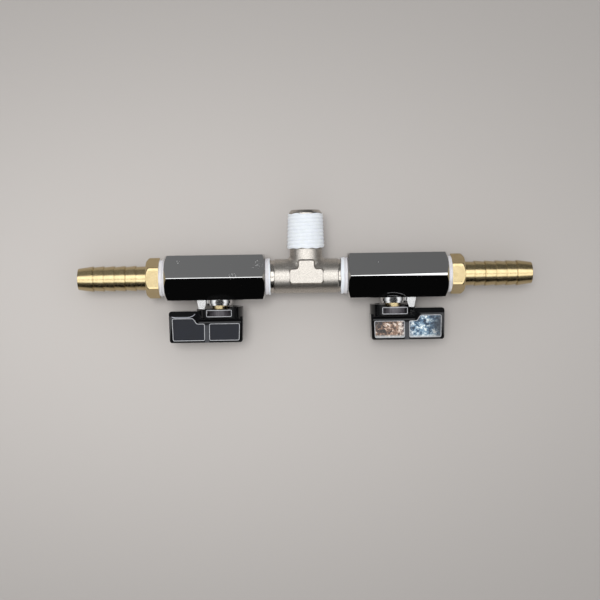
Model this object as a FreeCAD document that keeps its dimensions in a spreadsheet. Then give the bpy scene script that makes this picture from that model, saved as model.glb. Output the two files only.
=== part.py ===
"""Twin-outlet valve manifold: a three-way male tee, two hexagon-bar ball valves and two hose barbs.

Frame: origin where the tee's run and branch axes cross; +X along the run, +Y along the branch
towards the inlet thread, +Z square to both. The stems and handles point to -Y.
Each valve is drawn once, for the +X side, with its own origin at the ball's centre. The valve on the -X
side is the same part turned half a turn about Y.
"""
import FreeCAD
import Part
import Sketcher
import os
import re
from FreeCAD import Rotation, Vector

# Driving dimensions, in millimetres
SIZES = {
    # Taper pipe thread, 1/4-18 NPT, drawn as the cone over its crests
    "thread_dia": 13.26,  # diameter over the crests at the small end of the male thread
    "thread_taper": 0.0625,  # growth of that diameter for each millimetre of length
    "thread_chamfer": 1.2,  # chamfer at the small end of each male thread
    "thread_chamfer_in": 0.9,  # how far that chamfer goes in, on the radius
    "joint_clearance": 0.03,  # gap left between screwed or seated faces of different pieces
    "cut_beyond": 1.0,  # how far a cutter starts outside the face that it opens
    "tape_free": 0.3,  # thickness of the thread tape where it lies free
    "tape_squeezed": 0.1,  # thickness of the thread tape inside a joint
    "tape_start": 1.3,  # distance of the tape from the small end of the thread

    # Tee
    "run_reach": 26.5,  # tee centre to the end of a run thread
    "branch_reach": 26.5,  # tee centre to the end of the branch thread
    "run_thread": 11.8,  # length of the run threads
    "branch_thread": 15.2,  # length of the branch thread
    "run_bore": 8.0,  # bore through the run
    "branch_bore": 9.0,  # bore of the branch
    "forging_dia": 13.8,  # diameter of the forged run
    "forging_half": 12.7,  # tee centre to the end of the forged run
    "shank_dia": 13.2,  # machined shank between the forging and the thread
    "neck_dia": 12.9,  # diameter of the branch neck
    "branch_fillet": 1.5,  # fillet between the branch neck and the run
    "pad_thick": 14.2,  # distance over the two flat pads
    "pad_length": 13.0,  # length of the pad's bar, along the run
    "pad_width": 5.8,  # width of the pad's bar
    "pad_stem_width": 6.3,  # width of the pad's stem, towards the branch
    "pad_stem_reach": 6.4,  # run axis to the end of the pad's stem
    "pad_corner": 1.0,  # corner radius of the pads

    # Valve body
    "run_engagement": 10.0,  # length of run thread inside the valve
    "hex_flats": 18.0,  # across flats of the hexagon bar
    "hex_corner": 0.4,  # rounding of the bar's long corners
    "valve_length": 40.0,  # length of the valve body
    "stem_place": 18.4,  # stem axis to the tee end of the valve body
    "outer_face_dia": 17.8,  # diameter where the chamfer meets the hose end
    "outer_chamfer": 1.1,  # length of the chamfer at the hose end, on the corners
    "inner_face_dia": 17.8,  # diameter where the chamfer meets the tee end
    "inner_chamfer": 1.0,  # length of the chamfer at the tee end, on the corners
    "inner_port_spare": 0.3,  # gap from the end of the run thread to the floor of its port
    "outer_port_spare": 1.2,  # gap from the end of the barb's thread to the floor of its port
    "boss_dia": 10.8,  # diameter of the stem boss
    "boss_step_dia": 9.8,  # diameter of the boss's end step
    "boss_step": 0.8,  # height of the boss's end step
    "boss_reach": 11.2,  # bore axis to the end face of the boss
    "lug_base_out": 9.1,  # stem axis to the outer side of the stop lug, at the bar
    "lug_tip_out": 8.3,  # stem axis to the outer side of the stop lug, at its tip
    "lug_tip_in": 6.3,  # stem axis to the inner side of the stop lug, at its tip
    "lug_reach": 13.1,  # bore axis to the tip of the stop lug
    "lug_width": 4.2,  # width of the stop lug, which the handle's stops meet
    "lug_corner": 0.5,  # rounding of the lug's tip
    "lug_root": 0.5,  # how far the lug reaches into the boss

    # Ball, seats and retainer
    "ball_dia": 10.8,  # ball
    "ball_bore": 6.4,  # bore of the ball, the seats and the web
    "chamber_dia": 11.3,  # ball chamber in the body
    "seat_thick": 2.6,  # thickness of a seat ring
    "seat_place": 3.6,  # ball centre to the near face of a seat ring
    "seat_bore": 7.0,  # bore of a seat ring and of the retainer
    "retainer_length": 3.5,  # length of the seat retainer
    "retainer_slot": 2.0,  # width of the spanner slot across the retainer
    "retainer_slot_depth": 1.2,  # depth of the spanner slot

    # Stem and its seals
    "stem_dia": 6.4,  # stem
    "stem_running": 0.04,  # radial clearance of the stem in the boss
    "collar_dia": 8.6,  # collar that keeps the stem in the body
    "collar_thick": 1.4,  # thickness of the collar
    "washer_thick": 0.7,  # thickness of the thrust washer
    "tang_width": 6.0,  # width of the tang, along the ball's slot
    "tang_thick": 2.5,  # thickness of the tang
    "tang_end": 3.9,  # bore axis to the end of the tang
    "slot_clearance": 0.05,  # gap on each side of the tang in the ball's slot
    "ring_section": 0.84,  # section diameter of an O-ring
    "ring_groove": 1.1,  # width of an O-ring groove
    "ring_depth": 0.84,  # depth of an O-ring groove
    "ring_first": 8.5,  # bore axis to the middle of the first O-ring
    "ring_pitch": 1.7,  # distance between the O-rings
    "flats_across": 4.8,  # across the two flats that drive the handle
    "stem_reach": 21.0,  # bore axis to the handle end of the stem

    # Handle and its screw
    "hub_dia": 18.8,  # outside of the handle's hub
    "skirt_wall": 1.8,  # wall of the hub's skirt
    "core_dia": 10.0,  # inner core that holds the stem
    "rim_reach": 11.7,  # bore axis to the rim of the skirt
    "rim_step_reach": 12.4,  # bore axis to the lowered part of the rim
    "rim_step_place": 4.9,  # stem axis to the step in the rim, away from the lever
    "core_reach": 12.65,  # bore axis to the end of the core
    "groove_reach": 15.4,  # bore axis to the floor of the groove inside the skirt
    "notch_reach": 14.9,  # bore axis to the floor of the stop notch
    "stop_clearance": 0.15,  # gap between the lug and each stop face
    "window_half": 4.9,  # half the length of the window in the skirt
    "window_start": 12.9,  # bore axis to the near edge of the window
    "hub_reach": 16.0,  # bore axis to the underside of the hub
    "blade_thick": 8.4,  # thickness of the blade and the lever
    "blade_reach": 26.0,  # bore axis to the far edge of the blade
    "lever_start": 13.4,  # bore axis to the near edge of the lever
    "lever_tip": 20.3,  # stem axis to the tip of the lever
    "blade_back_short": 0.1,  # how far the blade's end away from the lever stops short of the hub's outside
    "blade_draft": 0.25,  # narrowing of the blade at its far edge, on each end
    "hub_fillet": 2.2,  # fillet between the hub and the blade
    "lever_root_in": 1.2,  # how far the lever's root lies inside the hub's outside
    "lever_bevel": 2.0,  # height of the bevel along the near edge of the lever
    "lever_bevel_in": 1.0,  # depth of that bevel, into the lever's thickness
    "blade_round": 1.0,  # rounding of the blade's corners
    "edge_round": 0.4,  # rounding of the blade's long edges
    "panel_depth": 0.5,  # depth of the recessed panels
    "panel_border": 0.9,  # border between a panel and the blade's far edge
    "panel_end": 1.4,  # border between a panel and the blade's ends
    "panel_round": 0.6,  # corner radius of the panels
    "rib_place": 5.1,  # stem axis to the middle of the rib between the panels
    "rib_width": 2.0,  # width of that rib
    "lever_panel_start": 16.3,  # bore axis to the near edge of the lever's panel
    "hub_panel_start": 18.5,  # bore axis to the near edge of the hub's panel
    "lever_panel_corner": 9.2,  # stem axis to the inner corner of the lever's panel
    "lever_panel_slant": 1.4,  # slant of the lever panel's side beside the hub
    "socket_clearance": 0.05,  # gap between the stem and the handle's socket
    "web_thick": 1.9,  # thickness of the web between the stem and the screw's head
    "counterbore_dia": 5.8,  # counterbore for the screw's head
    "screw_dia": 3.0,  # screw, M3
    "screw_head_dia": 5.3,  # head of the screw
    "screw_head": 2.0,  # height of the screw's head
    "screw_length": 7.0,  # length of the screw below its head
    "tap_beyond": 0.5,  # how far the tapped hole goes past the end of the screw
    "screw_play": 0.2,  # radial play of the screw in the handle's web
    "screw_drive": 2.5,  # across flats of the socket in the screw's head
    "screw_drive_depth": 1.1,  # depth of that socket

    # Hose barb
    "left_barb_gap": 2.2,  # thread left showing between the left valve and its barb's hexagon
    "right_barb_gap": 1.7,  # the same on the right
    "barb_thread": 12.6,  # length of the barb's male thread
    "barb_hex_flats": 14.29,  # across flats of the barb's hexagon
    "barb_hex_length": 4.8,  # length of the barb's hexagon
    "barb_hex_face_dia": 14.1,  # diameter where the hexagon's chamfer ends, on the hose side
    "barb_hex_chamfer": 1.2,  # length of that chamfer, on the corners
    "barb_length": 27.8,  # hexagon to the tip of the barb
    "barb_crest_dia": 10.2,  # crests of the barb's teeth, for 3/8 inch hose
    "barb_root_dia": 9.3,  # roots of the barb's teeth
    "barb_neck_dia": 9.8,  # the barb where it leaves the hexagon
    "barb_tip_dia": 8.6,  # tip of the barb
    "barb_lead": 6.0,  # length of the first tooth, from the tip
    "barb_pitch": 4.27,  # length of each of the following teeth
    "barb_teeth": 4,  # number of teeth after the first
    "barb_land": 0.35,  # flat on each crest
    "barb_bore": 6.8,  # bore of the barb
}
TOUCH = 0.02  # edges this near to a place, in millimetres, are taken to lie there

doc = FreeCAD.newDocument("valve_manifold")
sheet = doc.addObject("Spreadsheet::Sheet", "Sizes")
for row, (name, value) in enumerate(SIZES.items(), 1):
    sheet.set(f"A{row}", name)
    sheet.set(f"B{row}", str(value))
    sheet.setAlias(f"B{row}", name)
doc.recompute()

MALE_RADIUS = "(thread_dia + ({0}) * thread_taper) / 2"
PORT_GAP = "tape_squeezed + joint_clearance * 2"
BALL_TO_TEE = "(run_reach - run_engagement + stem_place)"
OUTER_END = "(valve_length - stem_place)"
INNER_PORT = "(run_engagement + inner_port_spare)"
OUTER_PORT = "(barb_thread - right_barb_gap + outer_port_spare)"
STOP_FACE = "(lug_width / 2 + stop_clearance)"
COLLAR_START = "(chamber_dia / 2 + joint_clearance)"
WASHER_END = f"({COLLAR_START} + collar_thick + washer_thick + joint_clearance * 2)"
SCREW_SEAT = "(stem_reach + joint_clearance + web_thick)"
SKIRT_RADIUS = "(hub_dia / 2 - skirt_wall)"
BLADE_BACK = "(hub_dia / 2 - blade_back_short)"
LEVER_ROOT = "(hub_dia / 2 - lever_root_in)"

pieces = []


def bound(formula):
    """The formula with each size's name turned into a reference to its cell."""
    return re.sub(r"[a-z]\w*", lambda word: f"Sizes.{word[0]}" if word[0] in SIZES else word[0], formula)


def number(formula):
    """What the formula comes to."""
    result = sheet.evalExpression(bound(formula))
    return float(getattr(result, "Value", result))


def drive(item, key, formula):
    """Set a property, and tie it to the sheet where its formula names a size."""
    if bound(formula) != formula:
        item.setExpression(key, bound(formula))
    elif "." not in key:
        setattr(item, key, number(formula))


def new_body(name):
    body = doc.addObject("PartDesign::Body", name)
    body.Label = name
    pieces.append(body)
    return body


def new_sketch(body, name, role, offset="0"):
    """An empty sketch on one of the body's origin planes, moved along the plane's normal by offset."""
    sketch = body.newObject("Sketcher::SketchObject", name)
    plane = next(item for item in body.Origin.OriginFeatures if item.Role == role)
    sketch.AttachmentSupport = [(plane, "")]
    sketch.MapMode = "FlatFace"
    if offset != "0":
        sketch.setExpression("AttachmentOffset.Base.z", bound(offset))
    return sketch


def constrain(sketch, kind, *place, formula):
    at = sketch.addConstraint(Sketcher.Constraint(kind, *place, number(formula)))
    if bound(formula) != formula:
        sketch.setExpression(f"Constraints[{at}]", bound(formula))


def add_outline(sketch, corners):
    """Add a closed outline of straight lines to a sketch. Each corner is a pair of formulas."""
    first = sketch.GeometryCount
    count = len(corners)
    points = [Vector(number(across), number(up), 0) for across, up in corners]
    for index in range(count):
        sketch.addGeometry(Part.LineSegment(points[index], points[(index + 1) % count]), False)
    for index, (across, up) in enumerate(corners):
        line = first + index
        sketch.addConstraint(Sketcher.Constraint("Coincident", line, 2, first + (index + 1) % count, 1))
        constrain(sketch, "DistanceX", line, 1, formula=across)
        constrain(sketch, "DistanceY", line, 1, formula=up)


def outline(body, name, role, corners, offset="0"):
    sketch = new_sketch(body, name, role, offset)
    add_outline(sketch, corners)
    return sketch


def box(left, right, low, high):
    """The four corners of a rectangle, from formulas for its sides."""
    return [(left, low), (right, low), (right, high), (left, high)]


def hexagon(flats):
    """The six corners of a hexagon with flats at plus and minus the first axis."""
    half = f"{flats} / 2"
    low = f"{flats} / sqrt(12)"
    peak = f"{flats} / sqrt(3)"
    right_and_peak = [(half, f"-{low}"), (half, low), ("0", peak)]
    return right_and_peak + [(f"-{half}", low), (f"-{half}", f"-{low}"), ("0", f"-{peak}")]


def disc(body, name, role, diameter, offset="0"):
    sketch = new_sketch(body, name, role, offset)
    sketch.addGeometry(Part.Circle(Vector(), Vector(0, 0, 1), number(diameter) / 2), False)
    sketch.addConstraint(Sketcher.Constraint("Coincident", 0, 3, -1, 1))
    constrain(sketch, "Diameter", 0, formula=diameter)
    return sketch


def finish_feature(body, feature, grows):
    """Recompute the feature and make sure that it adds or takes material as it should."""
    base = body.Tip
    before = base.Shape.Volume if base else 0
    body.Tip = feature
    doc.recompute()
    if not feature.isValid() or (feature.Shape.Volume - before) * (1 if grows else -1) <= 0:
        raise RuntimeError(f"{body.Label}: {feature.Name} does not change the solid as it should")
    return feature


def turn(body, name, sketch, axis, cut=False):
    """Turn the sketch a full circle about one of its own axes, to add material or to cut it."""
    base = body.Tip
    feature = body.newObject("PartDesign::Groove" if cut else "PartDesign::Revolution", name)
    feature.Profile = sketch
    feature.ReferenceAxis = (sketch, [axis])
    feature.Angle = 360
    body.Tip = base
    return finish_feature(body, feature, not cut)


def pull(body, name, sketch, length, symmetric=False):
    """Pad the sketch along its plane's normal, or to both sides of its plane."""
    base = body.Tip
    feature = body.newObject("PartDesign::Pad", name)
    feature.Profile = sketch
    drive(feature, "Length", length)
    feature.SideType = "Symmetric" if symmetric else "One side"
    body.Tip = base
    return finish_feature(body, feature, True)


def cut_away(body, name, sketch, length, symmetric=False, along_normal=True):
    """Pocket the sketch along its plane's normal, or against it, or to both sides of its plane."""
    base = body.Tip
    feature = body.newObject("PartDesign::Pocket", name)
    feature.Profile = sketch
    drive(feature, "Length", length)
    feature.SideType = "Symmetric" if symmetric else "One side"
    feature.Reversed = along_normal and not symmetric
    body.Tip = base
    return finish_feature(body, feature, False)


def dress(body, name, radius, chosen):
    """Fillet the edges of the body that the test picks."""
    base = body.Tip
    edges = [f"Edge{at}" for at, edge in enumerate(base.Shape.Edges, 1) if chosen(edge)]
    feature = body.newObject("PartDesign::Fillet", name)
    feature.Base = (base, edges)
    drive(feature, "Radius", radius)
    body.Tip = feature
    doc.recompute()
    if not edges or not feature.isValid():
        raise RuntimeError(f"{body.Label}: {name} failed on {len(edges)} edges")
    return feature


def bore(body, name, axis, start, end, diameter):
    """Cut a round hole along one of the plane's axes, from start to end."""
    radius = f"{diameter} / 2"
    corners = box(start, end, "0", radius) if axis == "H_Axis" else box("0", radius, start, end)
    return turn(body, name, outline(body, f"{name}_outline", "XY_Plane", corners), axis, cut=True)


def along(edge, axis):
    """True for a straight edge that runs along the axis, X, Y or Z."""
    across = [getattr(edge.BoundBox, f"{other}Length") for other in "XYZ" if other != axis]
    return edge.Curve.TypeId == "Part::GeomLine" and max(across) < TOUCH


def close(value, formula):
    return abs(value - number(formula)) < TOUCH


def place(item, sign, across, up="0", rotation=Rotation()):
    """Put a finished piece at its place along the run. The -X side is the +X side turned about Y."""
    turned = Rotation(Vector(0, 1, 0), 180) if sign == "-" else Rotation()
    item.Placement.Rotation = turned * rotation
    drive(item, "Placement.Base.x", f"{sign}({across})")
    drive(item, "Placement.Base.y", up)


def inlet_tee():
    """Forged tee: a turned run and branch, flat pads on both broad sides and crossing waterways."""
    body = new_body("inlet_tee")
    end_radius = MALE_RADIUS.format("0")
    half = [
        ("run_reach", f"{end_radius} - thread_chamfer_in"),
        ("(run_reach - thread_chamfer)", MALE_RADIUS.format("thread_chamfer")),
        ("(run_reach - run_thread)", MALE_RADIUS.format("run_thread")),
        ("(run_reach - run_thread)", "shank_dia / 2"),
        ("forging_half", "shank_dia / 2"),
        ("forging_half", "forging_dia / 2"),
    ]
    run = [("run_reach", "0")] + half + [(f"-{along_run}", radius) for along_run, radius in reversed(half)]
    run.append(("-run_reach", "0"))
    turn(body, "run", outline(body, "run_outline", "XY_Plane", run), "H_Axis")
    branch = [
        ("0", "0"),
        ("neck_dia / 2", "0"),
        ("neck_dia / 2", "branch_reach - branch_thread"),
        (MALE_RADIUS.format("branch_thread"), "branch_reach - branch_thread"),
        (MALE_RADIUS.format("thread_chamfer"), "branch_reach - thread_chamfer"),
        (f"{end_radius} - thread_chamfer_in", "branch_reach"),
        ("0", "branch_reach"),
    ]
    turn(body, "branch", outline(body, "branch_outline", "XY_Plane", branch), "V_Axis")

    def where_necks_meet(edge):
        neck = number("neck_dia / 2") + TOUCH
        beside_neck = -neck < edge.BoundBox.XMin and edge.BoundBox.XMax < neck
        on_run = edge.BoundBox.YMax < number("forging_dia / 2") + TOUCH
        return edge.Curve.TypeId != "Part::GeomLine" and beside_neck and on_run

    dress(body, "crotch_fillet", "branch_fillet", where_necks_meet)
    tee_pad = [
        ("-pad_length / 2", "-pad_width / 2"),
        ("pad_length / 2", "-pad_width / 2"),
        ("pad_length / 2", "pad_width / 2"),
        ("pad_stem_width / 2", "pad_width / 2"),
        ("pad_stem_width / 2", "pad_stem_reach"),
        ("-pad_stem_width / 2", "pad_stem_reach"),
        ("-pad_stem_width / 2", "pad_width / 2"),
        ("-pad_length / 2", "pad_width / 2"),
    ]
    pull(body, "pads", outline(body, "pad_outline", "XY_Plane", tee_pad), "pad_thick", symmetric=True)
    dress(body, "pad_corners", "pad_corner", lambda edge: along(edge, "Z"))
    bore(body, "run_waterway", "H_Axis", "-run_reach", "run_reach", "run_bore")
    bore(body, "branch_waterway", "V_Axis", "0", "branch_reach", "branch_bore")


def thread_tape(name, first, mouth, last):
    """Tape wound on a male thread. Its origin is the thread's small end and +X runs to the large end.

    It is squeezed thin inside the joint, up to mouth, and lies thick beyond it.
    """
    body = new_body(name)
    inner = f"({MALE_RADIUS} + joint_clearance / 2)"
    corners = [(first, inner.format(first)), (last, inner.format(last))]
    corners.append((last, f"{inner.format(last)} + tape_free"))
    corners.append((mouth, f"{inner.format(mouth)} + tape_free"))
    if mouth != first:
        corners.append((mouth, f"{inner.format(mouth)} + tape_squeezed"))
        corners.append((first, f"{inner.format(first)} + tape_squeezed"))
    turn(body, "winding", outline(body, "winding_outline", "XY_Plane", corners), "H_Axis")
    return body


def valve_body(side):
    """Hexagon bar with a stem boss and a stop lug, two thread ports and the ball chamber between them."""
    body = new_body(f"{side}_valve_body")
    bar = outline(body, "bar_outline", "YZ_Plane", hexagon("hex_flats"), "-stem_place")
    pull(body, "bar", bar, "valve_length")
    dress(body, "bar_corners", "hex_corner", lambda edge: along(edge, "X"))
    for name, end, inward, face, depth in (
        ("outer", OUTER_END, "-", "outer_face_dia", "outer_chamfer"),
        ("inner", "-stem_place", "+", "inner_face_dia", "inner_chamfer"),
    ):
        steepness = f"(hex_flats - {face} / 2) / (hex_flats / sqrt(3) - {face} / 2)"
        corners = [
            (end, f"{face} / 2"),
            (end, "hex_flats"),
            (f"{end} {inward} {depth} * {steepness}", "hex_flats"),
        ]
        chamfer_sketch = outline(body, f"{name}_chamfer_outline", "XY_Plane", corners)
        turn(body, f"{name}_chamfer", chamfer_sketch, "H_Axis", cut=True)
    boss = [
        ("0", "0"),
        ("boss_dia / 2", "0"),
        ("boss_dia / 2", "-(boss_reach - boss_step)"),
        ("boss_step_dia / 2", "-(boss_reach - boss_step)"),
        ("boss_step_dia / 2", "-boss_reach"),
        ("0", "-boss_reach"),
    ]
    turn(body, "boss", outline(body, "boss_outline", "XY_Plane", boss), "V_Axis")
    root = "-(hex_flats / 2 - hex_corner)"
    lug = [
        ("boss_step_dia / 2 - lug_root", root),
        ("lug_base_out", root),
        ("lug_base_out", "-hex_flats / 2"),
        ("lug_tip_out", "-lug_reach"),
        ("lug_tip_in", "-lug_reach"),
        ("boss_dia / 2", "-boss_reach + boss_step"),
        ("boss_step_dia / 2 - lug_root", "-boss_reach + boss_step"),
    ]
    pull(body, "stop_lug", outline(body, "lug_outline", "XY_Plane", lug), "lug_width", symmetric=True)
    dress(
        body,
        "lug_corners",
        "lug_corner",
        lambda edge: along(edge, "Z") and close(edge.BoundBox.YMax, "-lug_reach"),
    )
    inner_gap = f"{MALE_RADIUS.format('run_engagement')} + {PORT_GAP}"
    outer_gap = f"{MALE_RADIUS.format('barb_thread - right_barb_gap')} + {PORT_GAP}"
    web_end = "-(seat_place + seat_thick + joint_clearance)"
    inner_floor = f"-stem_place + {INNER_PORT}"
    outer_floor = f"{OUTER_END} - {OUTER_PORT}"
    inside = [
        ("-stem_place", "0"),
        ("-stem_place", inner_gap),
        (inner_floor, f"{inner_gap} - {INNER_PORT} * thread_taper / 2"),
        (inner_floor, "ball_bore / 2"),
        (web_end, "ball_bore / 2"),
        (web_end, "chamber_dia / 2"),
        (outer_floor, "chamber_dia / 2"),
        (outer_floor, f"{outer_gap} - {OUTER_PORT} * thread_taper / 2"),
        (OUTER_END, outer_gap),
        (OUTER_END, "0"),
    ]
    turn(body, "waterway", outline(body, "waterway_outline", "XY_Plane", inside), "H_Axis", cut=True)
    stem_hole = [
        ("0", "0"),
        ("collar_dia / 2 + stem_running", "0"),
        ("collar_dia / 2 + stem_running", f"-{WASHER_END}"),
        ("stem_dia / 2 + stem_running", f"-{WASHER_END}"),
        ("stem_dia / 2 + stem_running", "-boss_reach"),
        ("0", "-boss_reach"),
    ]
    turn(body, "stem_hole", outline(body, "stem_hole_outline", "XY_Plane", stem_hole), "V_Axis", cut=True)
    return body


def seat_ring(side, name, start, end):
    """A ring that fills the chamber between two places along the bore, hollowed where the ball bears."""
    ring = doc.addObject("Part::Cylinder", f"{side}_{name}_blank")
    hole = doc.addObject("Part::Cylinder", f"{side}_{name}_hole")
    bowl = doc.addObject("Part::Sphere", f"{side}_{name}_bowl")
    for cylinder in (ring, hole):
        cylinder.Placement.Rotation = Rotation(Vector(0, 1, 0), 90)
        drive(cylinder, "Placement.Base.x", start)
        drive(cylinder, "Height", f"({end}) - ({start})")
    drive(ring, "Radius", "chamber_dia / 2 - joint_clearance")
    drive(hole, "Radius", "seat_bore / 2")
    drive(bowl, "Radius", "ball_dia / 2 + joint_clearance")
    cutters = doc.addObject("Part::MultiFuse", f"{side}_{name}_cutters")
    cutters.Shapes = [hole, bowl]
    seat = doc.addObject("Part::Cut", f"{side}_{name}")
    seat.Label = f"{side}_{name}"
    seat.Base = ring
    seat.Tool = cutters
    pieces.append(seat)
    return seat


def seat_retainer(side):
    """Screwed ring that presses the outer seat on the ball, with a spanner slot across its face."""
    body = new_body(f"{side}_seat_retainer")
    start = "seat_place + seat_thick + joint_clearance"
    end = f"{start} + retainer_length"
    ring = box(start, end, "seat_bore / 2", "chamber_dia / 2 - joint_clearance")
    turn(body, "ring", outline(body, "ring_outline", "XY_Plane", ring), "H_Axis")
    slot = box(f"{end} - retainer_slot_depth", end, "-retainer_slot / 2", "retainer_slot / 2")
    cut_away(body, "slot", outline(body, "slot_outline", "XY_Plane", slot), "chamber_dia", symmetric=True)
    return body


def ball(side):
    """Ball with a through bore and, on the stem's side, a slot across the bore for the stem's tang."""
    sphere = doc.addObject("Part::Sphere", f"{side}_ball_blank")
    drive(sphere, "Radius", "ball_dia / 2")
    hole = doc.addObject("Part::Cylinder", f"{side}_ball_bore")
    hole.Placement.Rotation = Rotation(Vector(0, 1, 0), 90)
    drive(hole, "Placement.Base.x", "-ball_dia")
    drive(hole, "Height", "ball_dia * 2")
    drive(hole, "Radius", "ball_bore / 2")
    slot = doc.addObject("Part::Box", f"{side}_ball_slot")
    drive(slot, "Length", "tang_thick + slot_clearance * 2")
    drive(slot, "Width", "ball_dia")
    drive(slot, "Height", "ball_dia * 2")
    drive(slot, "Placement.Base.x", "-tang_thick / 2 - slot_clearance")
    drive(slot, "Placement.Base.y", "-tang_end + slot_clearance - ball_dia")
    drive(slot, "Placement.Base.z", "-ball_dia")
    cutters = doc.addObject("Part::MultiFuse", f"{side}_ball_cutters")
    cutters.Shapes = [hole, slot]
    result = doc.addObject("Part::Cut", f"{side}_ball")
    result.Label = f"{side}_ball"
    result.Base = sphere
    result.Tool = cutters
    pieces.append(result)
    return result


def stem(side):
    """Turned stem: tang, collar, two O-ring grooves, and an end with two flats and a tapped hole."""
    body = new_body(f"{side}_stem")
    collar_end = f"-({COLLAR_START} + collar_thick)"
    corners = [
        ("0", f"-{COLLAR_START}"),
        ("collar_dia / 2", f"-{COLLAR_START}"),
        ("collar_dia / 2", collar_end),
        ("stem_dia / 2", collar_end),
    ]
    for middle in ("ring_first", "(ring_first + ring_pitch)"):
        corners += [
            ("stem_dia / 2", f"-({middle} - ring_groove / 2)"),
            ("stem_dia / 2 - ring_depth", f"-({middle} - ring_groove / 2)"),
            ("stem_dia / 2 - ring_depth", f"-({middle} + ring_groove / 2)"),
            ("stem_dia / 2", f"-({middle} + ring_groove / 2)"),
        ]
    corners += [("stem_dia / 2", "-stem_reach"), ("0", "-stem_reach")]
    turn(body, "shaft", outline(body, "shaft_outline", "XY_Plane", corners), "V_Axis")
    tang = box("-tang_thick / 2", "tang_thick / 2", "-tang_width / 2", "tang_width / 2")
    tang_sketch = outline(body, "tang_outline", "XZ_Plane", tang, "tang_end")
    pull(body, "tang", tang_sketch, f"{COLLAR_START} - tang_end + collar_thick / 2")
    flats = new_sketch(body, "flats_outline", "XZ_Plane", "core_reach")
    add_outline(flats, box("-stem_dia", "stem_dia", "flats_across / 2", "stem_dia"))
    add_outline(flats, box("-stem_dia", "stem_dia", "-stem_dia", "-flats_across / 2"))
    cut_away(body, "flats", flats, "stem_reach")
    bore(body, "tapped_hole", "V_Axis", "-stem_reach", f"-({SCREW_SEAT} - screw_length - tap_beyond)",
         "(screw_dia + joint_clearance * 2)")
    return body


def thrust_washer(side):
    """Plain ring between the stem's collar and the step inside the boss."""
    body = new_body(f"{side}_thrust_washer")
    start = f"({COLLAR_START} + collar_thick + joint_clearance)"
    ring = box("stem_dia / 2 + stem_running", "collar_dia / 2", f"-({start} + washer_thick)", f"-{start}")
    turn(body, "ring", outline(body, "ring_outline", "XY_Plane", ring), "V_Axis")
    return body


def stem_rings(side):
    """The stem's two O-rings, each a torus that just fills its groove."""
    rings = []
    for count, middle in enumerate(("ring_first", "ring_first + ring_pitch"), 1):
        ring = doc.addObject("Part::Torus", f"{side}_ring_{count}")
        ring.Placement.Rotation = Rotation(Vector(1, 0, 0), 90)
        drive(ring, "Radius1", "stem_dia / 2 - ring_depth / 2 + stem_running / 2")
        drive(ring, "Radius2", "ring_section / 2")
        drive(ring, "Placement.Base.y", f"-({middle})")
        rings.append(ring)
    pair = doc.addObject("Part::Compound", f"{side}_stem_rings")
    pair.Label = f"{side}_stem_rings"
    pair.Links = rings
    pieces.append(pair)
    return pair


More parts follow.
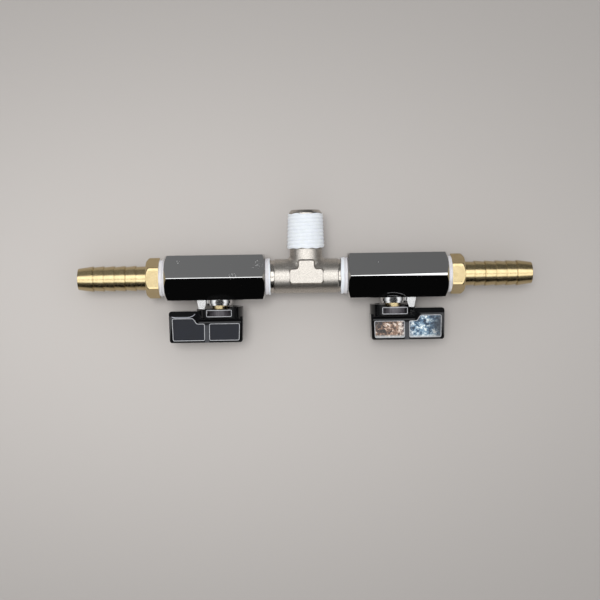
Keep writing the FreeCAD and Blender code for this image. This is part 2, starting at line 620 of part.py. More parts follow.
def handle(side):
    """Moulded handle: a skirted hub with windows and a stop notch, and a blade that carries the lever."""
    body = new_body(f"{side}_handle")
    skirt = [
        ("0", "-hub_reach"),
        ("hub_dia / 2", "-hub_reach"),
        ("hub_dia / 2", "-rim_reach"),
        (SKIRT_RADIUS, "-rim_reach"),
        (SKIRT_RADIUS, "-groove_reach"),
        ("0", "-groove_reach"),
    ]
    turn(body, "skirt", outline(body, "skirt_outline", "XY_Plane", skirt), "V_Axis")

    # The rim is lower beside the lever, and open where the lug travels
    low_rim = box("-rim_step_place", "hub_dia", "-hub_dia", "hub_dia")
    low_sketch = outline(body, "low_rim_outline", "XZ_Plane", low_rim, "rim_reach")
    cut_away(body, "low_rim", low_sketch, "rim_step_reach - rim_reach")
    notch = box(f"-{STOP_FACE}", "hub_dia", f"-{STOP_FACE}", "hub_dia")
    notch_sketch = outline(body, "notch_outline", "XZ_Plane", notch, "rim_reach")
    cut_away(body, "stop_notch", notch_sketch, "notch_reach - rim_reach")
    window = box("-window_half", "window_half", "-groove_reach", "-window_start")
    window_sketch = outline(body, "window_outline", "XY_Plane", window)
    cut_away(body, "windows", window_sketch, "hub_dia * 2", symmetric=True)

    # Inner core and blade
    core = disc(body, "core_outline", "XZ_Plane", "core_dia", "core_reach")
    pull(body, "core", core, "hub_reach - core_reach")
    shoulder = "(groove_reach + hub_reach) / 2"
    blade = [
        (f"-{BLADE_BACK}", f"-{shoulder}"),
        (LEVER_ROOT, f"-{shoulder}"),
        (LEVER_ROOT, "-lever_start"),
        ("lever_tip", "-lever_start"),
        ("lever_tip - blade_draft", "-blade_reach"),
        (f"-{BLADE_BACK} + blade_draft", "-blade_reach"),
    ]
    pull(body, "blade", outline(body, "blade_outline", "XY_Plane", blade), "blade_thick", symmetric=True)

    def long_edges(reach):
        """The edges along X of the blade's two broad faces, at this distance from the bore axis."""
        def chosen(edge):
            on_face = close(abs(edge.BoundBox.ZMax), "blade_thick / 2")
            return along(edge, "X") and on_face and close(edge.BoundBox.YMin, f"-{reach}")
        return chosen

    dress(body, "hub_fillets", "hub_fillet", long_edges("hub_reach"))

    def blade_corner(edge):
        at_tip = edge.BoundBox.XMin > number("lever_tip - blade_draft") - TOUCH
        at_far_edge = edge.BoundBox.YMax < number("-blade_reach") + TOUCH
        return along(edge, "Z") and (at_tip or at_far_edge)

    dress(body, "blade_corners", "blade_round", blade_corner)
    bevels = new_sketch(body, "bevel_outline", "YZ_Plane", "hub_dia / 2")
    for face in ("", "-"):
        add_outline(bevels, [
            ("-lever_start", f"{face}(blade_thick / 2 - lever_bevel_in)"),
            ("-lever_start + cut_beyond", f"{face}(blade_thick / 2 - lever_bevel_in)"),
            ("-lever_start + cut_beyond", f"{face}(blade_thick / 2 + cut_beyond)"),
            ("-lever_start - lever_bevel", f"{face}(blade_thick / 2 + cut_beyond)"),
            ("-lever_start - lever_bevel", f"{face}(blade_thick / 2)"),
        ])
    cut_away(body, "lever_bevels", bevels, "lever_tip")
    dress(body, "far_edges", "edge_round", long_edges("blade_reach"))

    # Recessed panels on both faces of the blade, with a rib between them
    far_edge = "-(blade_reach - panel_border)"
    panels = new_sketch(body, "panel_outline", "XY_Plane", "blade_thick / 2 - panel_depth")
    near_rib = "(rib_place + rib_width / 2)"
    add_outline(panels, [
        (near_rib, "-hub_panel_start"),
        ("lever_panel_corner", "-hub_panel_start"),
        ("lever_panel_corner + lever_panel_slant", "-lever_panel_start"),
        ("lever_tip - panel_end", "-lever_panel_start"),
        ("lever_tip - panel_end - blade_draft", far_edge),
        (near_rib, far_edge),
    ])
    add_outline(panels, [
        ("rib_place - rib_width / 2", "-hub_panel_start"),
        (f"-{BLADE_BACK} + panel_end", "-hub_panel_start"),
        (f"-{BLADE_BACK} + panel_end + blade_draft", far_edge),
        ("rib_place - rib_width / 2", far_edge),
    ])
    panel_cut = cut_away(body, "panels", panels, "panel_depth * 2")
    both_faces = body.newObject("PartDesign::Mirrored", "panels_on_both_faces")
    both_faces.Originals = [panel_cut]
    middle_plane = next(item for item in body.Origin.OriginFeatures if item.Role == "XY_Plane")
    both_faces.MirrorPlane = (middle_plane, [""])
    body.Tip = panel_cut
    finish_feature(body, both_faces, False)
    dress(
        body,
        "panel_corners",
        "panel_round",
        lambda edge: along(edge, "Z") and close(edge.Length, "panel_depth"),
    )

    # Socket with two flats for the stem, web, and counterbore for the screw
    socket_end = "-(stem_reach + joint_clearance)"
    bore(body, "stem_socket", "V_Axis", socket_end, "-core_reach", "(stem_dia + socket_clearance * 2)")
    keys = new_sketch(body, "socket_flats_outline", "XZ_Plane", "core_reach + joint_clearance")
    key_start = "flats_across / 2 + socket_clearance"
    key_end = "stem_dia / 2 + socket_clearance * 2"
    add_outline(keys, box("-flats_across / 2", "flats_across / 2", key_start, key_end))
    add_outline(keys, box("-flats_across / 2", "flats_across / 2", f"-({key_end})", f"-({key_start})"))
    pull(body, "socket_flats", keys, "stem_reach - core_reach")
    hole_end = f"-{SCREW_SEAT} - cut_beyond"
    bore(body, "screw_hole", "V_Axis", hole_end, socket_end, "(screw_dia + screw_play * 2)")
    bore(body, "counterbore", "V_Axis", "-blade_reach - cut_beyond", f"-{SCREW_SEAT}", "counterbore_dia")
    return body


def handle_screw(side):
    """Cheese-head screw with a hexagon socket, from the blade's far edge into the stem."""
    body = new_body(f"{side}_handle_screw")
    seat = f"({SCREW_SEAT} + joint_clearance)"
    corners = [
        ("0", f"-({seat} - screw_length)"),
        ("screw_dia / 2", f"-({seat} - screw_length)"),
        ("screw_dia / 2", f"-{seat}"),
        ("screw_head_dia / 2", f"-{seat}"),
        ("screw_head_dia / 2", f"-({seat} + screw_head)"),
        ("0", f"-({seat} + screw_head)"),
    ]
    turn(body, "shank_and_head", outline(body, "shank_outline", "XY_Plane", corners), "V_Axis")
    socket = hexagon("screw_drive")
    drive_sketch = outline(body, "drive_outline", "XZ_Plane", socket, f"{seat} + screw_head")
    cut_away(body, "drive_socket", drive_sketch, "screw_drive_depth", along_normal=False)
    return body


def hose_barb(side):
    """Hose barb: male thread, hexagon collar and ring teeth. Its origin is the collar's valve side."""
    body = new_body(f"{side}_hose_barb")
    tip = "(barb_hex_length + barb_length)"
    first_crest = f"({tip} - barb_lead)"
    corners = [
        ("-barb_thread", "0"),
        ("-barb_thread", f"{MALE_RADIUS.format('0')} - thread_chamfer_in"),
        ("-barb_thread + thread_chamfer", MALE_RADIUS.format("thread_chamfer")),
        ("0", MALE_RADIUS.format("barb_thread")),
        ("0", "barb_crest_dia / 2"),
        ("barb_hex_length", "barb_crest_dia / 2"),
        ("barb_hex_length", "barb_neck_dia / 2"),
    ]
    teeth = int(number("barb_teeth"))
    for tooth in range(teeth, -1, -1):
        crest = f"({first_crest} - {tooth} * barb_pitch)"
        corners.append((crest, "barb_root_dia / 2"))
        corners.append((crest, "barb_crest_dia / 2"))
        corners.append((f"{crest} + barb_land", "barb_crest_dia / 2"))
    corners += [(tip, "barb_tip_dia / 2"), (tip, "0")]
    turn(body, "barb", outline(body, "barb_outline", "XY_Plane", corners), "H_Axis")
    collar = [(across, up) for up, across in hexagon("barb_hex_flats")]
    pull(body, "collar", outline(body, "collar_outline", "YZ_Plane", collar), "barb_hex_length")
    face = "barb_hex_face_dia / 2"
    chamfer_height = f"(barb_hex_flats - {face}) / (barb_hex_flats / sqrt(3) - {face})"
    chamfer = [
        ("barb_hex_length", face),
        ("barb_hex_length", "barb_hex_flats"),
        (f"barb_hex_length - barb_hex_chamfer * {chamfer_height}", "barb_hex_flats"),
    ]
    turn(body, "chamfer", outline(body, "chamfer_outline", "XY_Plane", chamfer), "H_Axis", cut=True)
    bore(body, "waterway", "H_Axis", "-barb_thread", tip, "barb_bore")
    return body


inlet_tee()
inlet_tape = thread_tape("inlet_thread_tape", "tape_start", "tape_start", "branch_thread")
inlet_tape.Placement.Rotation = Rotation(Vector(0, 0, 1), -90)
drive(inlet_tape, "Placement.Base.y", "branch_reach")
half_turn = Rotation(Vector(0, 1, 0), 180)
for side, sign in (("left", "-"), ("right", "")):
    run_tape = thread_tape(f"{side}_run_tape", "tape_start", "run_engagement", "run_thread")
    place(run_tape, sign, "run_reach", rotation=half_turn)
    for make in (valve_body, seat_retainer, ball, stem, thrust_washer, stem_rings, handle, handle_screw):
        place(make(side), sign, BALL_TO_TEE)
    place(seat_ring(side, "inner_seat", "-(seat_place + seat_thick)", "-seat_place"), sign, BALL_TO_TEE)
    place(seat_ring(side, "outer_seat", "seat_place", "seat_place + seat_thick"), sign, BALL_TO_TEE)
    collar = f"{BALL_TO_TEE} + {OUTER_END} + {side}_barb_gap"
    mouth = f"barb_thread - {side}_barb_gap"
    barb_tape = thread_tape(f"{side}_barb_tape", "tape_start", mouth, "barb_thread")
    place(barb_tape, sign, f"{collar} - barb_thread")
    place(hose_barb(side), sign, collar)
doc.recompute()

failed = [item.Name for item in doc.Objects if "Invalid" in item.State or "Error" in item.State]
failed += [item.Label for item in pieces if item.Shape.isNull() or not item.Shape.isValid()]
if failed:
    raise RuntimeError(f"these did not build: {failed}")

os.makedirs("parts", exist_ok=True)
for item in pieces:
    item.Shape.exportStep(f"parts/{item.Label}.step")
    print(item.Label, round(item.Shape.Volume, 2), len(item.Shape.Solids))
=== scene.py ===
"""Looks of the twin-outlet valve manifold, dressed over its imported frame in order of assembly."""

import math

import bmesh
import bpy
import numpy as np
from mathutils import Matrix, Vector


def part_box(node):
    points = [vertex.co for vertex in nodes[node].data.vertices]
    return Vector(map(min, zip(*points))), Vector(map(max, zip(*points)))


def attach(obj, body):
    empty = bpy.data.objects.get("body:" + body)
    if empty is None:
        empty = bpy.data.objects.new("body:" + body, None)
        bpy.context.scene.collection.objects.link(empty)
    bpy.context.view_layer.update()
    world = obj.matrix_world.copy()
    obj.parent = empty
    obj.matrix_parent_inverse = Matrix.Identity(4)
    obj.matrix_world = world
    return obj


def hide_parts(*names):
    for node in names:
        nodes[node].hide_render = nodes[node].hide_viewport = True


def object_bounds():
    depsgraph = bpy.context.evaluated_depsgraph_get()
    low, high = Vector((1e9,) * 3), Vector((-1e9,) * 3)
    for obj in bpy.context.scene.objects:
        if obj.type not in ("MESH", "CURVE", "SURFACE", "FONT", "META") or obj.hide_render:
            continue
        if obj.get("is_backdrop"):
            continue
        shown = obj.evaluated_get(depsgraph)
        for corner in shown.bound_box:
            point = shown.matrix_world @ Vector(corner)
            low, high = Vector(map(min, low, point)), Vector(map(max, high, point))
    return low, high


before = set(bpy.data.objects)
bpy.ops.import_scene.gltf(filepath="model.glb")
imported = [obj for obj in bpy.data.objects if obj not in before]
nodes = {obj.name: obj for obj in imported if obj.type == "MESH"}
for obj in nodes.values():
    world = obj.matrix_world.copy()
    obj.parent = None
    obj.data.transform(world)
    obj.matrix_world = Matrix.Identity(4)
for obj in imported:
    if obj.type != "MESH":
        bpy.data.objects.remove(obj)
cad_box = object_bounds()
MM = 0.001

# Inlet tee: a brass forging, sand blasted and nickel plated, with threads and shanks turned afterwards.
# Its CAD solid is welded to one mesh and rebuilt in cells smaller than the blast grain, so that every
# forged corner is slightly soft.
FORGED_VOXEL = 0.27 * MM
FORGED_SOFTNESS = 0.3  # share of the way that smoothing moves each place towards its neighbours
BLAST_GRAIN = 0.42  # mm, spacing of the sand marks, drawn coarser than they are so that they show
FORGED_END = 12.7 * MM  # the forged run ends here, and the turned shank begins
NECK_END = 11.2 * MM  # the forged branch neck ends here, and the turned thread begins


def colour(code):
    """The linear colour of a hex sRGB code such as "#c4c5c5"."""
    parts = [int(code[at:at + 2], 16) / 255 for at in (1, 3, 5)]
    linear = [part / 12.92 if part <= 0.04045 else ((part + 0.055) / 1.055) ** 2.4 for part in parts]
    return (*linear, 1)


def per_metre(size):
    """How many marks of this size in millimetres fit in a metre, which is a texture's scale."""
    return 1 / (size * MM)


def add_node(tree, kind, inputs=None, **settings):
    """Add a node with its settings. Each input gets a value, or a link when it is given a socket."""
    node = tree.nodes.new(kind)
    for key, value in settings.items():
        setattr(node, key, value)
    for key, value in (inputs or {}).items():
        if isinstance(value, bpy.types.NodeSocket):
            tree.links.new(value, node.inputs[key])
        else:
            node.inputs[key].default_value = value
    return node


def new_finish(name):
    """An empty node tree for a surface, with the object's own coordinates in it."""
    material = bpy.data.materials.new(name)
    material.use_nodes = True
    material.node_tree.nodes.clear()
    place = add_node(material.node_tree, "ShaderNodeTexCoord").outputs["Object"]
    return material, material.node_tree, place


def merged_copy(node, name):
    """A CAD node's loose triangles welded to one mesh: equal corners, to 0.1 micron, become one.

    A triangle of which two corners became one is left out.
    """
    source = nodes[node].data
    corners = np.empty(len(source.vertices) * 3, np.float32)
    source.vertices.foreach_get("co", corners)
    corners = np.round(corners.reshape(-1, 3).astype(float), 7)
    places, welded = np.unique(corners, axis=0, return_inverse=True)
    triangles = np.empty(len(source.loops), np.int32)
    source.loops.foreach_get("vertex_index", triangles)
    triangles = welded.ravel()[triangles].reshape(-1, 3)
    whole = (triangles != np.roll(triangles, 1, axis=1)).all(axis=1)
    mesh = bpy.data.meshes.new(name)
    mesh.from_pydata(places.tolist(), [], triangles[whole].tolist())
    mesh.update()
    return mesh


def new_piece(mesh, material, body, slot, *replaced):
    """Put a mesh in the scene as one piece on a body, in place of the CAD nodes that it stands for."""
    piece = bpy.data.objects.new(mesh.name, mesh)
    bpy.context.scene.collection.objects.link(piece)
    mesh.materials.append(material)
    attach(piece, body)
    for node in replaced:
        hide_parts(node)
    return piece


# Nickel plate over a blasted surface: a pale warm grey metal, with a sparkle where grains catch the light
nickel, tree, place = new_finish("blasted_nickel_plate")
grain = add_node(
    tree,
    "ShaderNodeTexNoise",
    {"Vector": place, "Scale": per_metre(BLAST_GRAIN), "Detail": 3.0},
)
tone = add_node(tree, "ShaderNodeMapRange", {"Value": grain.outputs["Fac"], "From Min": 0.3, "From Max": 0.7})
tinted = add_node(
    tree,
    "ShaderNodeMix",
    {"Factor": tone.outputs[0], 6: colour("#a39d95"), 7: colour("#cac4bc")},
    data_type="RGBA",
)
# Painted shade: the step round each flat pad and the seams are darkened where little light gets in, found by
# ambient occlusion
PAINTED_SHADE_REACH = 0.8 * MM
occlusion = add_node(tree, "ShaderNodeAmbientOcclusion", {"Distance": PAINTED_SHADE_REACH}, samples=12)
painted_crease_shade = add_node(
    tree,
    "ShaderNodeMapRange",
    {"Value": occlusion.outputs["AO"], "From Min": 0.9, "From Max": 0.55, "To Max": 0.75},
)
# Painted shade: the crease colour is mixed in where the occlusion is deep
tinted = add_node(
    tree,
    "ShaderNodeMix",
    {"Factor": painted_crease_shade.outputs[0], 6: tinted.outputs[2], 7: colour("#57514b")},
    data_type="RGBA",
)
# The turned shanks and threads are bright: smooth beyond the forged ends, along the run and the branch
parts = add_node(tree, "ShaderNodeSeparateXYZ", {"Vector": place})
off_middle = add_node(tree, "ShaderNodeMath", {0: parts.outputs["X"]}, operation="ABSOLUTE")
past_run = add_node(
    tree,
    "ShaderNodeMath",
    {0: off_middle.outputs[0], 1: FORGED_END},
    operation="GREATER_THAN",
)
past_neck = add_node(
    tree,
    "ShaderNodeMath",
    {0: parts.outputs["Y"], 1: NECK_END},
    operation="GREATER_THAN",
)
machined = add_node(
    tree,
    "ShaderNodeMath",
    {0: past_run.outputs[0], 1: past_neck.outputs[0]},
    operation="MAXIMUM",
)
sheen = add_node(
    tree,
    "ShaderNodeMapRange",
    {"Value": machined.outputs[0], "To Min": 0.38, "To Max": 0.16},
)
relief = add_node(
    tree,
    "ShaderNodeMapRange",
    {"Value": machined.outputs[0], "To Min": 1.0, "To Max": 0.1},
)
height = add_node(
    tree,
    "ShaderNodeMath",
    {0: grain.outputs["Fac"], 1: relief.outputs[0]},
    operation="MULTIPLY",
)
dents = add_node(
    tree,
    "ShaderNodeBump",
    {"Height": height.outputs[0], "Strength": 0.5, "Distance": 0.07 * MM},
)
shader = add_node(
    tree,
    "ShaderNodeBsdfPrincipled",
    {
        "Base Color": tinted.outputs[2],
        "Metallic": 1.0,
        "Roughness": sheen.outputs[0],
        "Normal": dents.outputs[0],
    },
)
add_node(tree, "ShaderNodeOutputMaterial", {"Surface": shader.outputs[0]})
mesh = merged_copy("inlet_tee", "forged_tee")
tee = new_piece(mesh, nickel, "manifold", "nickel_plated_brass", "inlet_tee")
tee.data.shade_smooth()
rebuilt = tee.modifiers.new("forged_skin", "REMESH")
rebuilt.mode = "VOXEL"
rebuilt.voxel_size = FORGED_VOXEL
rebuilt.use_smooth_shade = True
softened = tee.modifiers.new("soft_corners", "SMOOTH")
softened.iterations = 1
softened.factor = FORGED_SOFTNESS

# Thread tape: thin white PTFE film wound on each male thread, where the thread's crests show through
# as ridges. It is squeezed thin inside a joint and lies loose and ragged where it comes out.
THREAD_RADIUS = 13.26 / 2  # mm, over the crests at the small end
THREAD_TAPER = 1 / 32  # growth of that radius for each millimetre of length
THREAD_PITCH = 25.4 / 18  # mm, from its 18 threads an inch
TAPE_FREE = 0.3  # mm, thickness of the wound film where it lies loose
TAPE_SQUEEZED = 0.1
TAPE_RIDGE = 0.13  # height of a ridge over the film's middle
TAPE_UNDER = 0.015  # gap between the crests and the film
MOUTH_WIDTH = 0.15  # length over which the film swells as it leaves a joint
FOLD_HEIGHT = 0.02
FOLD_PITCH = 0.47
SLANT_TURN = np.pi / 2 + 0.5  # the angle at which a slanted edge reaches farthest
TAPE_ROUND = 180  # places round the thread
TAPE_ROWS = 150  # and along the outside of the film
UNDER_ROWS = 8
SURFACE_CREASE = 38  # degrees: an edge that turns more than this stays sharp


def closed_surface(name, grid):
    """A mesh over a grid of places that closes on itself both ways, with its faces turned outwards.

    grid has the shape (along the profile, round the axis, 3). The sum of a . (b x c) over the triangles
    is six times the volume that they bound. Where it comes out below nought, every face is turned over.
    """
    rows, columns = grid.shape[:2]
    index = np.arange(rows * columns).reshape(rows, columns)
    ahead = np.roll(index, -1, axis=0)
    quads = np.stack([index, ahead, np.roll(ahead, -1, axis=1), np.roll(index, -1, axis=1)], axis=-1)
    quads = quads.reshape(-1, 4)
    places = grid.reshape(-1, 3)
    a, b, c, d = (places[quads[:, at]] for at in range(4))
    bounded = (a * (np.cross(b, c) + np.cross(c, d))).sum()
    if bounded < 0:
        quads = quads[:, ::-1]
    mesh = bpy.data.meshes.new(name)
    mesh.vertices.add(len(places))
    mesh.vertices.foreach_set("co", places.astype(np.float32).ravel())
    mesh.loops.add(quads.size)
    mesh.loops.foreach_set("vertex_index", quads.astype(np.int32).ravel())
    mesh.polygons.add(len(quads))
    mesh.polygons.foreach_set("loop_start", np.arange(0, quads.size, 4, dtype=np.int32))
    mesh.update(calc_edges=True)
    mesh.validate()
    mesh.shade_smooth()
    mesh.set_sharp_from_angle(angle=math.radians(SURFACE_CREASE))
    return mesh


def turned(axis, along, radius, angle):
    """Places in metres of (along, radius, angle) about an axis of the frame, from lengths in mm.

    About X the angle is measured from +Y towards +Z, and about Y from +X towards +Z.
    """
    first = radius * np.cos(angle)
    second = radius * np.sin(angle)
    ahead = np.broadcast_to(along, first.shape)
    order = (ahead, first, second) if axis == "X" else (first, ahead, second)
    return np.stack(order, axis=-1) * MM


def wound_tape(name, axis, end_place, inward, first, mouth, last, slant, ragged, seed):
    """Tape wound on a male thread, from first to last in mm from the thread's small end.

    The profile goes out along the film and back along the thread under it. Its radius is the cone over
    the crests plus the film's thickness, which swells at the joint's mouth from squeezed to loose, and
    then has a cosine ridge that climbs one pitch in a turn and finer folds that come and go round the
    thread. The edge at last leans by slant and both edges wave by ragged, as sums of cosines that have 3
    to 13 waves to a turn and seeded phases.
    """
    chance = np.random.default_rng(seed)
    angle = np.linspace(0, 2 * np.pi, TAPE_ROUND, endpoint=False)[None, :]
    waves = np.arange(3, 14)[:, None]
    strength = ragged / np.sqrt(waves)

    def wavering():
        """How far an edge strays at each angle: the half sum of the waves, at random phases."""
        phase = chance.uniform(0, 2 * np.pi, waves.shape)
        return (strength * np.cos(waves * angle + phase)).sum(axis=0) / 2

    begin = first + wavering()
    end = last + slant * np.cos(angle - SLANT_TURN) + wavering()
    share = np.linspace(0, 1, TAPE_ROWS)[:, None]
    along = begin + (end - begin) * share
    crests = THREAD_RADIUS + along * THREAD_TAPER + TAPE_UNDER
    freed = np.clip((along - mouth) / MOUTH_WIDTH, 0, 1)
    ridge = TAPE_RIDGE * np.cos(2 * np.pi * along / THREAD_PITCH - angle)
    fold_phase = 2 * np.pi * along / FOLD_PITCH - angle + 0.6 * np.cos(3 * angle)
    folds = FOLD_HEIGHT * np.cos(fold_phase) * np.cos(2 * angle + along)
    thickness = TAPE_SQUEEZED + (TAPE_FREE - TAPE_SQUEEZED + ridge + folds) * freed
    under = np.linspace(1, 0, UNDER_ROWS)[:, None]
    under_along = begin + (end - begin) * under
    under_radius = THREAD_RADIUS + under_along * THREAD_TAPER + TAPE_UNDER
    all_along = np.concatenate([along, under_along])
    all_radius = np.concatenate([crests + thickness, under_radius])
    all_angle = np.broadcast_to(angle, all_along.shape)
    return closed_surface(name, turned(axis, end_place + inward * all_along, all_radius, all_angle))


# Stretched PTFE film: white with a cold cast, half matt, and soft where light goes into the layers
HAZE_PATCH = 1.6  # mm across, where more or fewer layers lie over each other
film, tree, place = new_finish("ptfe_thread_film")
haze = add_node(tree, "ShaderNodeTexNoise", {"Vector": place, "Scale": per_metre(HAZE_PATCH), "Detail": 4.0})
tinted = add_node(
    tree,
    "ShaderNodeMix",
    {"Factor": haze.outputs["Fac"], 6: colour("#e2e6eb"), 7: colour("#f4f7fb")},
    data_type="RGBA",
)
# Where a joint squeezes it on to the brass, with a little oil, the film is a warmer grey
JOINT_BEGINS = 15 * MM
parts = add_node(tree, "ShaderNodeSeparateXYZ", {"Vector": place})
off_middle = add_node(tree, "ShaderNodeMath", {0: parts.outputs["X"]}, operation="ABSOLUTE")
in_joint = add_node(
    tree,
    "ShaderNodeMath",
    {0: off_middle.outputs[0], 1: JOINT_BEGINS},
    operation="GREATER_THAN",
)
tinted = add_node(
    tree,
    "ShaderNodeMix",
    {"Factor": in_joint.outputs[0], 6: tinted.outputs[2], 7: colour("#fbf5f3")},
    data_type="RGBA",
    blend_type="MULTIPLY",
)
creases = add_node(
    tree,
    "ShaderNodeBump",
    {"Height": haze.outputs["Fac"], "Strength": 0.3, "Distance": 0.06 * MM},
)
shader = add_node(
    tree,
    "ShaderNodeBsdfPrincipled",
    {
        "Base Color": tinted.outputs[2],
        "Roughness": 0.45,
        "IOR": 1.38,
        "Normal": creases.outputs[0],
        "Subsurface Weight": 0.25,
        "Subsurface Radius": (0.6, 0.6, 0.7),
        "Subsurface Scale": 0.5 * MM,
    },
)
add_node(tree, "ShaderNodeOutputMaterial", {"Surface": shader.outputs[0]})

tee_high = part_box("inlet_tee")[1]
RUN_END = tee_high.x / MM
BRANCH_END = tee_high.y / MM
BODY_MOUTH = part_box("right_valve_body")[0].x / MM
# Axis, place of the thread's end and the way inwards. Then in mm from that end: where the film begins,
# where the joint's mouth is and where the film ends. Then how its far edge leans and how ragged it is, in
# mm, and its seed
TAPES = {
    "inlet_thread_tape": ("Y", BRANCH_END, -1, 1.6, 0, 15.1, 0.35, 0.28, 3),
    "left_run_tape": ("X", -RUN_END, 1, 1.5, RUN_END - BODY_MOUTH, 12.0, 0.12, 0.1, 5),
    "right_run_tape": ("X", RUN_END, -1, 1.5, RUN_END - BODY_MOUTH, 12.6, 0.2, 0.14, 8),
}
for node, shape in TAPES.items():
    new_piece(wound_tape(f"{node}_film", *shape), film, "manifold", "thread_tape", node)

# Valve bodies: hexagon brass bar, turned and chrome plated. Facets stay flat and mirror the room, and
# the long corners carry a thin worn highlight. The right one's front corner was buffed to a slanted strip.
EDGE_WEAR = 0.2 * MM
BODY_CREASE = 20  # degrees: an edge that turns more than this stays sharp
FLAT_TURN = 0.5  # degrees: triangles that turn by less than this are one flat face
WEAR_TURN = 50  # degrees: an edge that turns more than this is worn

# Polished chrome plate: a cold mirror, with a slow swell from the polishing wheel and faint smears
WHEEL_SWELL = 7  # mm across
SMEAR = 4  # mm across
chrome, tree, place = new_finish("polished_chrome_plate")
ripple = add_node(
    tree,
    "ShaderNodeTexNoise",
    {"Vector": place, "Scale": per_metre(WHEEL_SWELL), "Detail": 1.0},
)
wave = add_node(
    tree,
    "ShaderNodeBump",
    {"Height": ripple.outputs["Fac"], "Strength": 0.04, "Distance": 0.3 * MM},
)
smears = add_node(tree, "ShaderNodeTexNoise", {"Vector": place, "Scale": per_metre(SMEAR), "Detail": 5.0})
gloss = add_node(
    tree,
    "ShaderNodeMapRange",
    {"Value": smears.outputs["Fac"], "From Min": 0.35, "From Max": 0.75, "To Min": 0.035, "To Max": 0.055},
)
# The stop lug was out of the polisher's reach and stayed duller. It stands out past the boss, on the
# lever's side
LUG_BEGINS = -9.0 * MM
LUG_CLEAR = (5.6 * MM, 6.2 * MM)  # from the stem's axis: the boss ends, and the lug is all there is
LUG_ROUGH = 0.18
STEM_PLACE = 34.9  # mm from the tee's middle to each stem's axis
parts = add_node(tree, "ShaderNodeSeparateXYZ", {"Vector": place})
off_middle = add_node(tree, "ShaderNodeMath", {0: parts.outputs["X"]}, operation="ABSOLUTE")
off_stem = add_node(
    tree,
    "ShaderNodeMath",
    {0: off_middle.outputs[0], 1: STEM_PLACE * MM},
    operation="SUBTRACT",
)
flat = add_node(tree, "ShaderNodeCombineXYZ", {"X": off_stem.outputs[0], "Y": parts.outputs["Z"]})
off_axis = add_node(tree, "ShaderNodeVectorMath", {0: flat.outputs[0]}, operation="LENGTH")
clear = add_node(
    tree,
    "ShaderNodeMapRange",
    {"Value": off_axis.outputs["Value"], "From Min": LUG_CLEAR[0], "From Max": LUG_CLEAR[1]},
)
below = add_node(tree, "ShaderNodeMath", {0: parts.outputs["Y"], 1: LUG_BEGINS}, operation="LESS_THAN")
lug = add_node(tree, "ShaderNodeMath", {0: clear.outputs[0], 1: below.outputs[0]}, operation="MULTIPLY")
base = add_node(
    tree,
    "ShaderNodeMix",
    {"Factor": lug.outputs[0], 2: gloss.outputs[0], 3: LUG_ROUGH},
    data_type="FLOAT",
)
# Nicks: small spots where scratches crowd, three on the left body and one on the right. Each is a place
# and a radius, in mm
NICKS = (
    ((-19.6, 5.0, 7.5), 2.6),
    ((-29.2, 0.8, 9.9), 1.9),
    ((-50.8, 6.4, 6.7), 0.9),
    ((28.8, 5.2, 7.4), 0.5),
)
SCRATCH_GAP = 1.1  # mm between the scratches in a nick
SCRATCH_BREAK = 0.7  # mm, spacing of the gaps that break them up
SCRATCH_FADE = (0.2, 0.09)  # shares of that first spacing: off its middle a scratch begins, and is full
NICK_CORE = 0.6  # share of a nick's radius over which it is at its full strength
cells = add_node(
    tree,
    "ShaderNodeTexVoronoi",
    {"Vector": place, "Scale": per_metre(SCRATCH_GAP), "Randomness": 1.0},
    feature="DISTANCE_TO_EDGE",
)
line = add_node(
    tree,
    "ShaderNodeMapRange",
    {"Value": cells.outputs["Distance"], "From Min": SCRATCH_FADE[0], "From Max": SCRATCH_FADE[1]},
)
broken = add_node(
    tree,
    "ShaderNodeTexNoise",
    {"Vector": place, "Scale": per_metre(SCRATCH_BREAK), "Detail": 2.0},
)
gaps = add_node(
    tree,
    "ShaderNodeMapRange",
    {"Value": broken.outputs["Fac"], "From Min": 0.5, "From Max": 0.6},
)
scratch = add_node(tree, "ShaderNodeMath", {0: line.outputs[0], 1: gaps.outputs[0]}, operation="MULTIPLY")
nicked = 0.0
for spot, reach in NICKS:
    off = add_node(
        tree,
        "ShaderNodeVectorMath",
        {0: place, 1: [value * MM for value in spot]},
        operation="DISTANCE",
    )
    near = add_node(
        tree,
        "ShaderNodeMapRange",
        {"Value": off.outputs["Value"], "From Min": reach * MM, "From Max": NICK_CORE * reach * MM},
    )
    most = add_node(tree, "ShaderNodeMath", {0: near.outputs[0], 1: nicked}, operation="MAXIMUM")
    nicked = most.outputs[0]
hurt = add_node(tree, "ShaderNodeMath", {0: scratch.outputs[0], 1: nicked}, operation="MULTIPLY")
rough = add_node(
    tree,
    "ShaderNodeMix",
    {"Factor": hurt.outputs[0], 2: base.outputs[0], 3: 0.6},
    data_type="FLOAT",
)
shader = add_node(
    tree,
    "ShaderNodeBsdfPrincipled",
    {
        "Base Color": colour("#c7c6c5"),
        "Metallic": 1.0,
        "Roughness": rough.outputs[0],
        "Normal": wave.outputs[0],
    },
)
add_node(tree, "ShaderNodeOutputMaterial", {"Surface": shader.outputs[0]})


def worn_edges(piece, width):
    """Round the piece's edges that turn by more than WEAR_TURN by a real wear width."""
    bevel = piece.modifiers.new("worn_edges", "BEVEL")
    bevel.width = width
    bevel.segments = 2
    bevel.limit_method = "ANGLE"
    bevel.angle_limit = math.radians(WEAR_TURN)
    bevel.harden_normals = True
    bevel.use_clamp_overlap = True


def level_faces(piece):
    """Let the large faces set the shading at each corner, so that a flat face mirrors flatly."""
    levelled = piece.modifiers.new("level_faces", "WEIGHTED_NORMAL")
    levelled.keep_sharp = True
    levelled.weight = 100


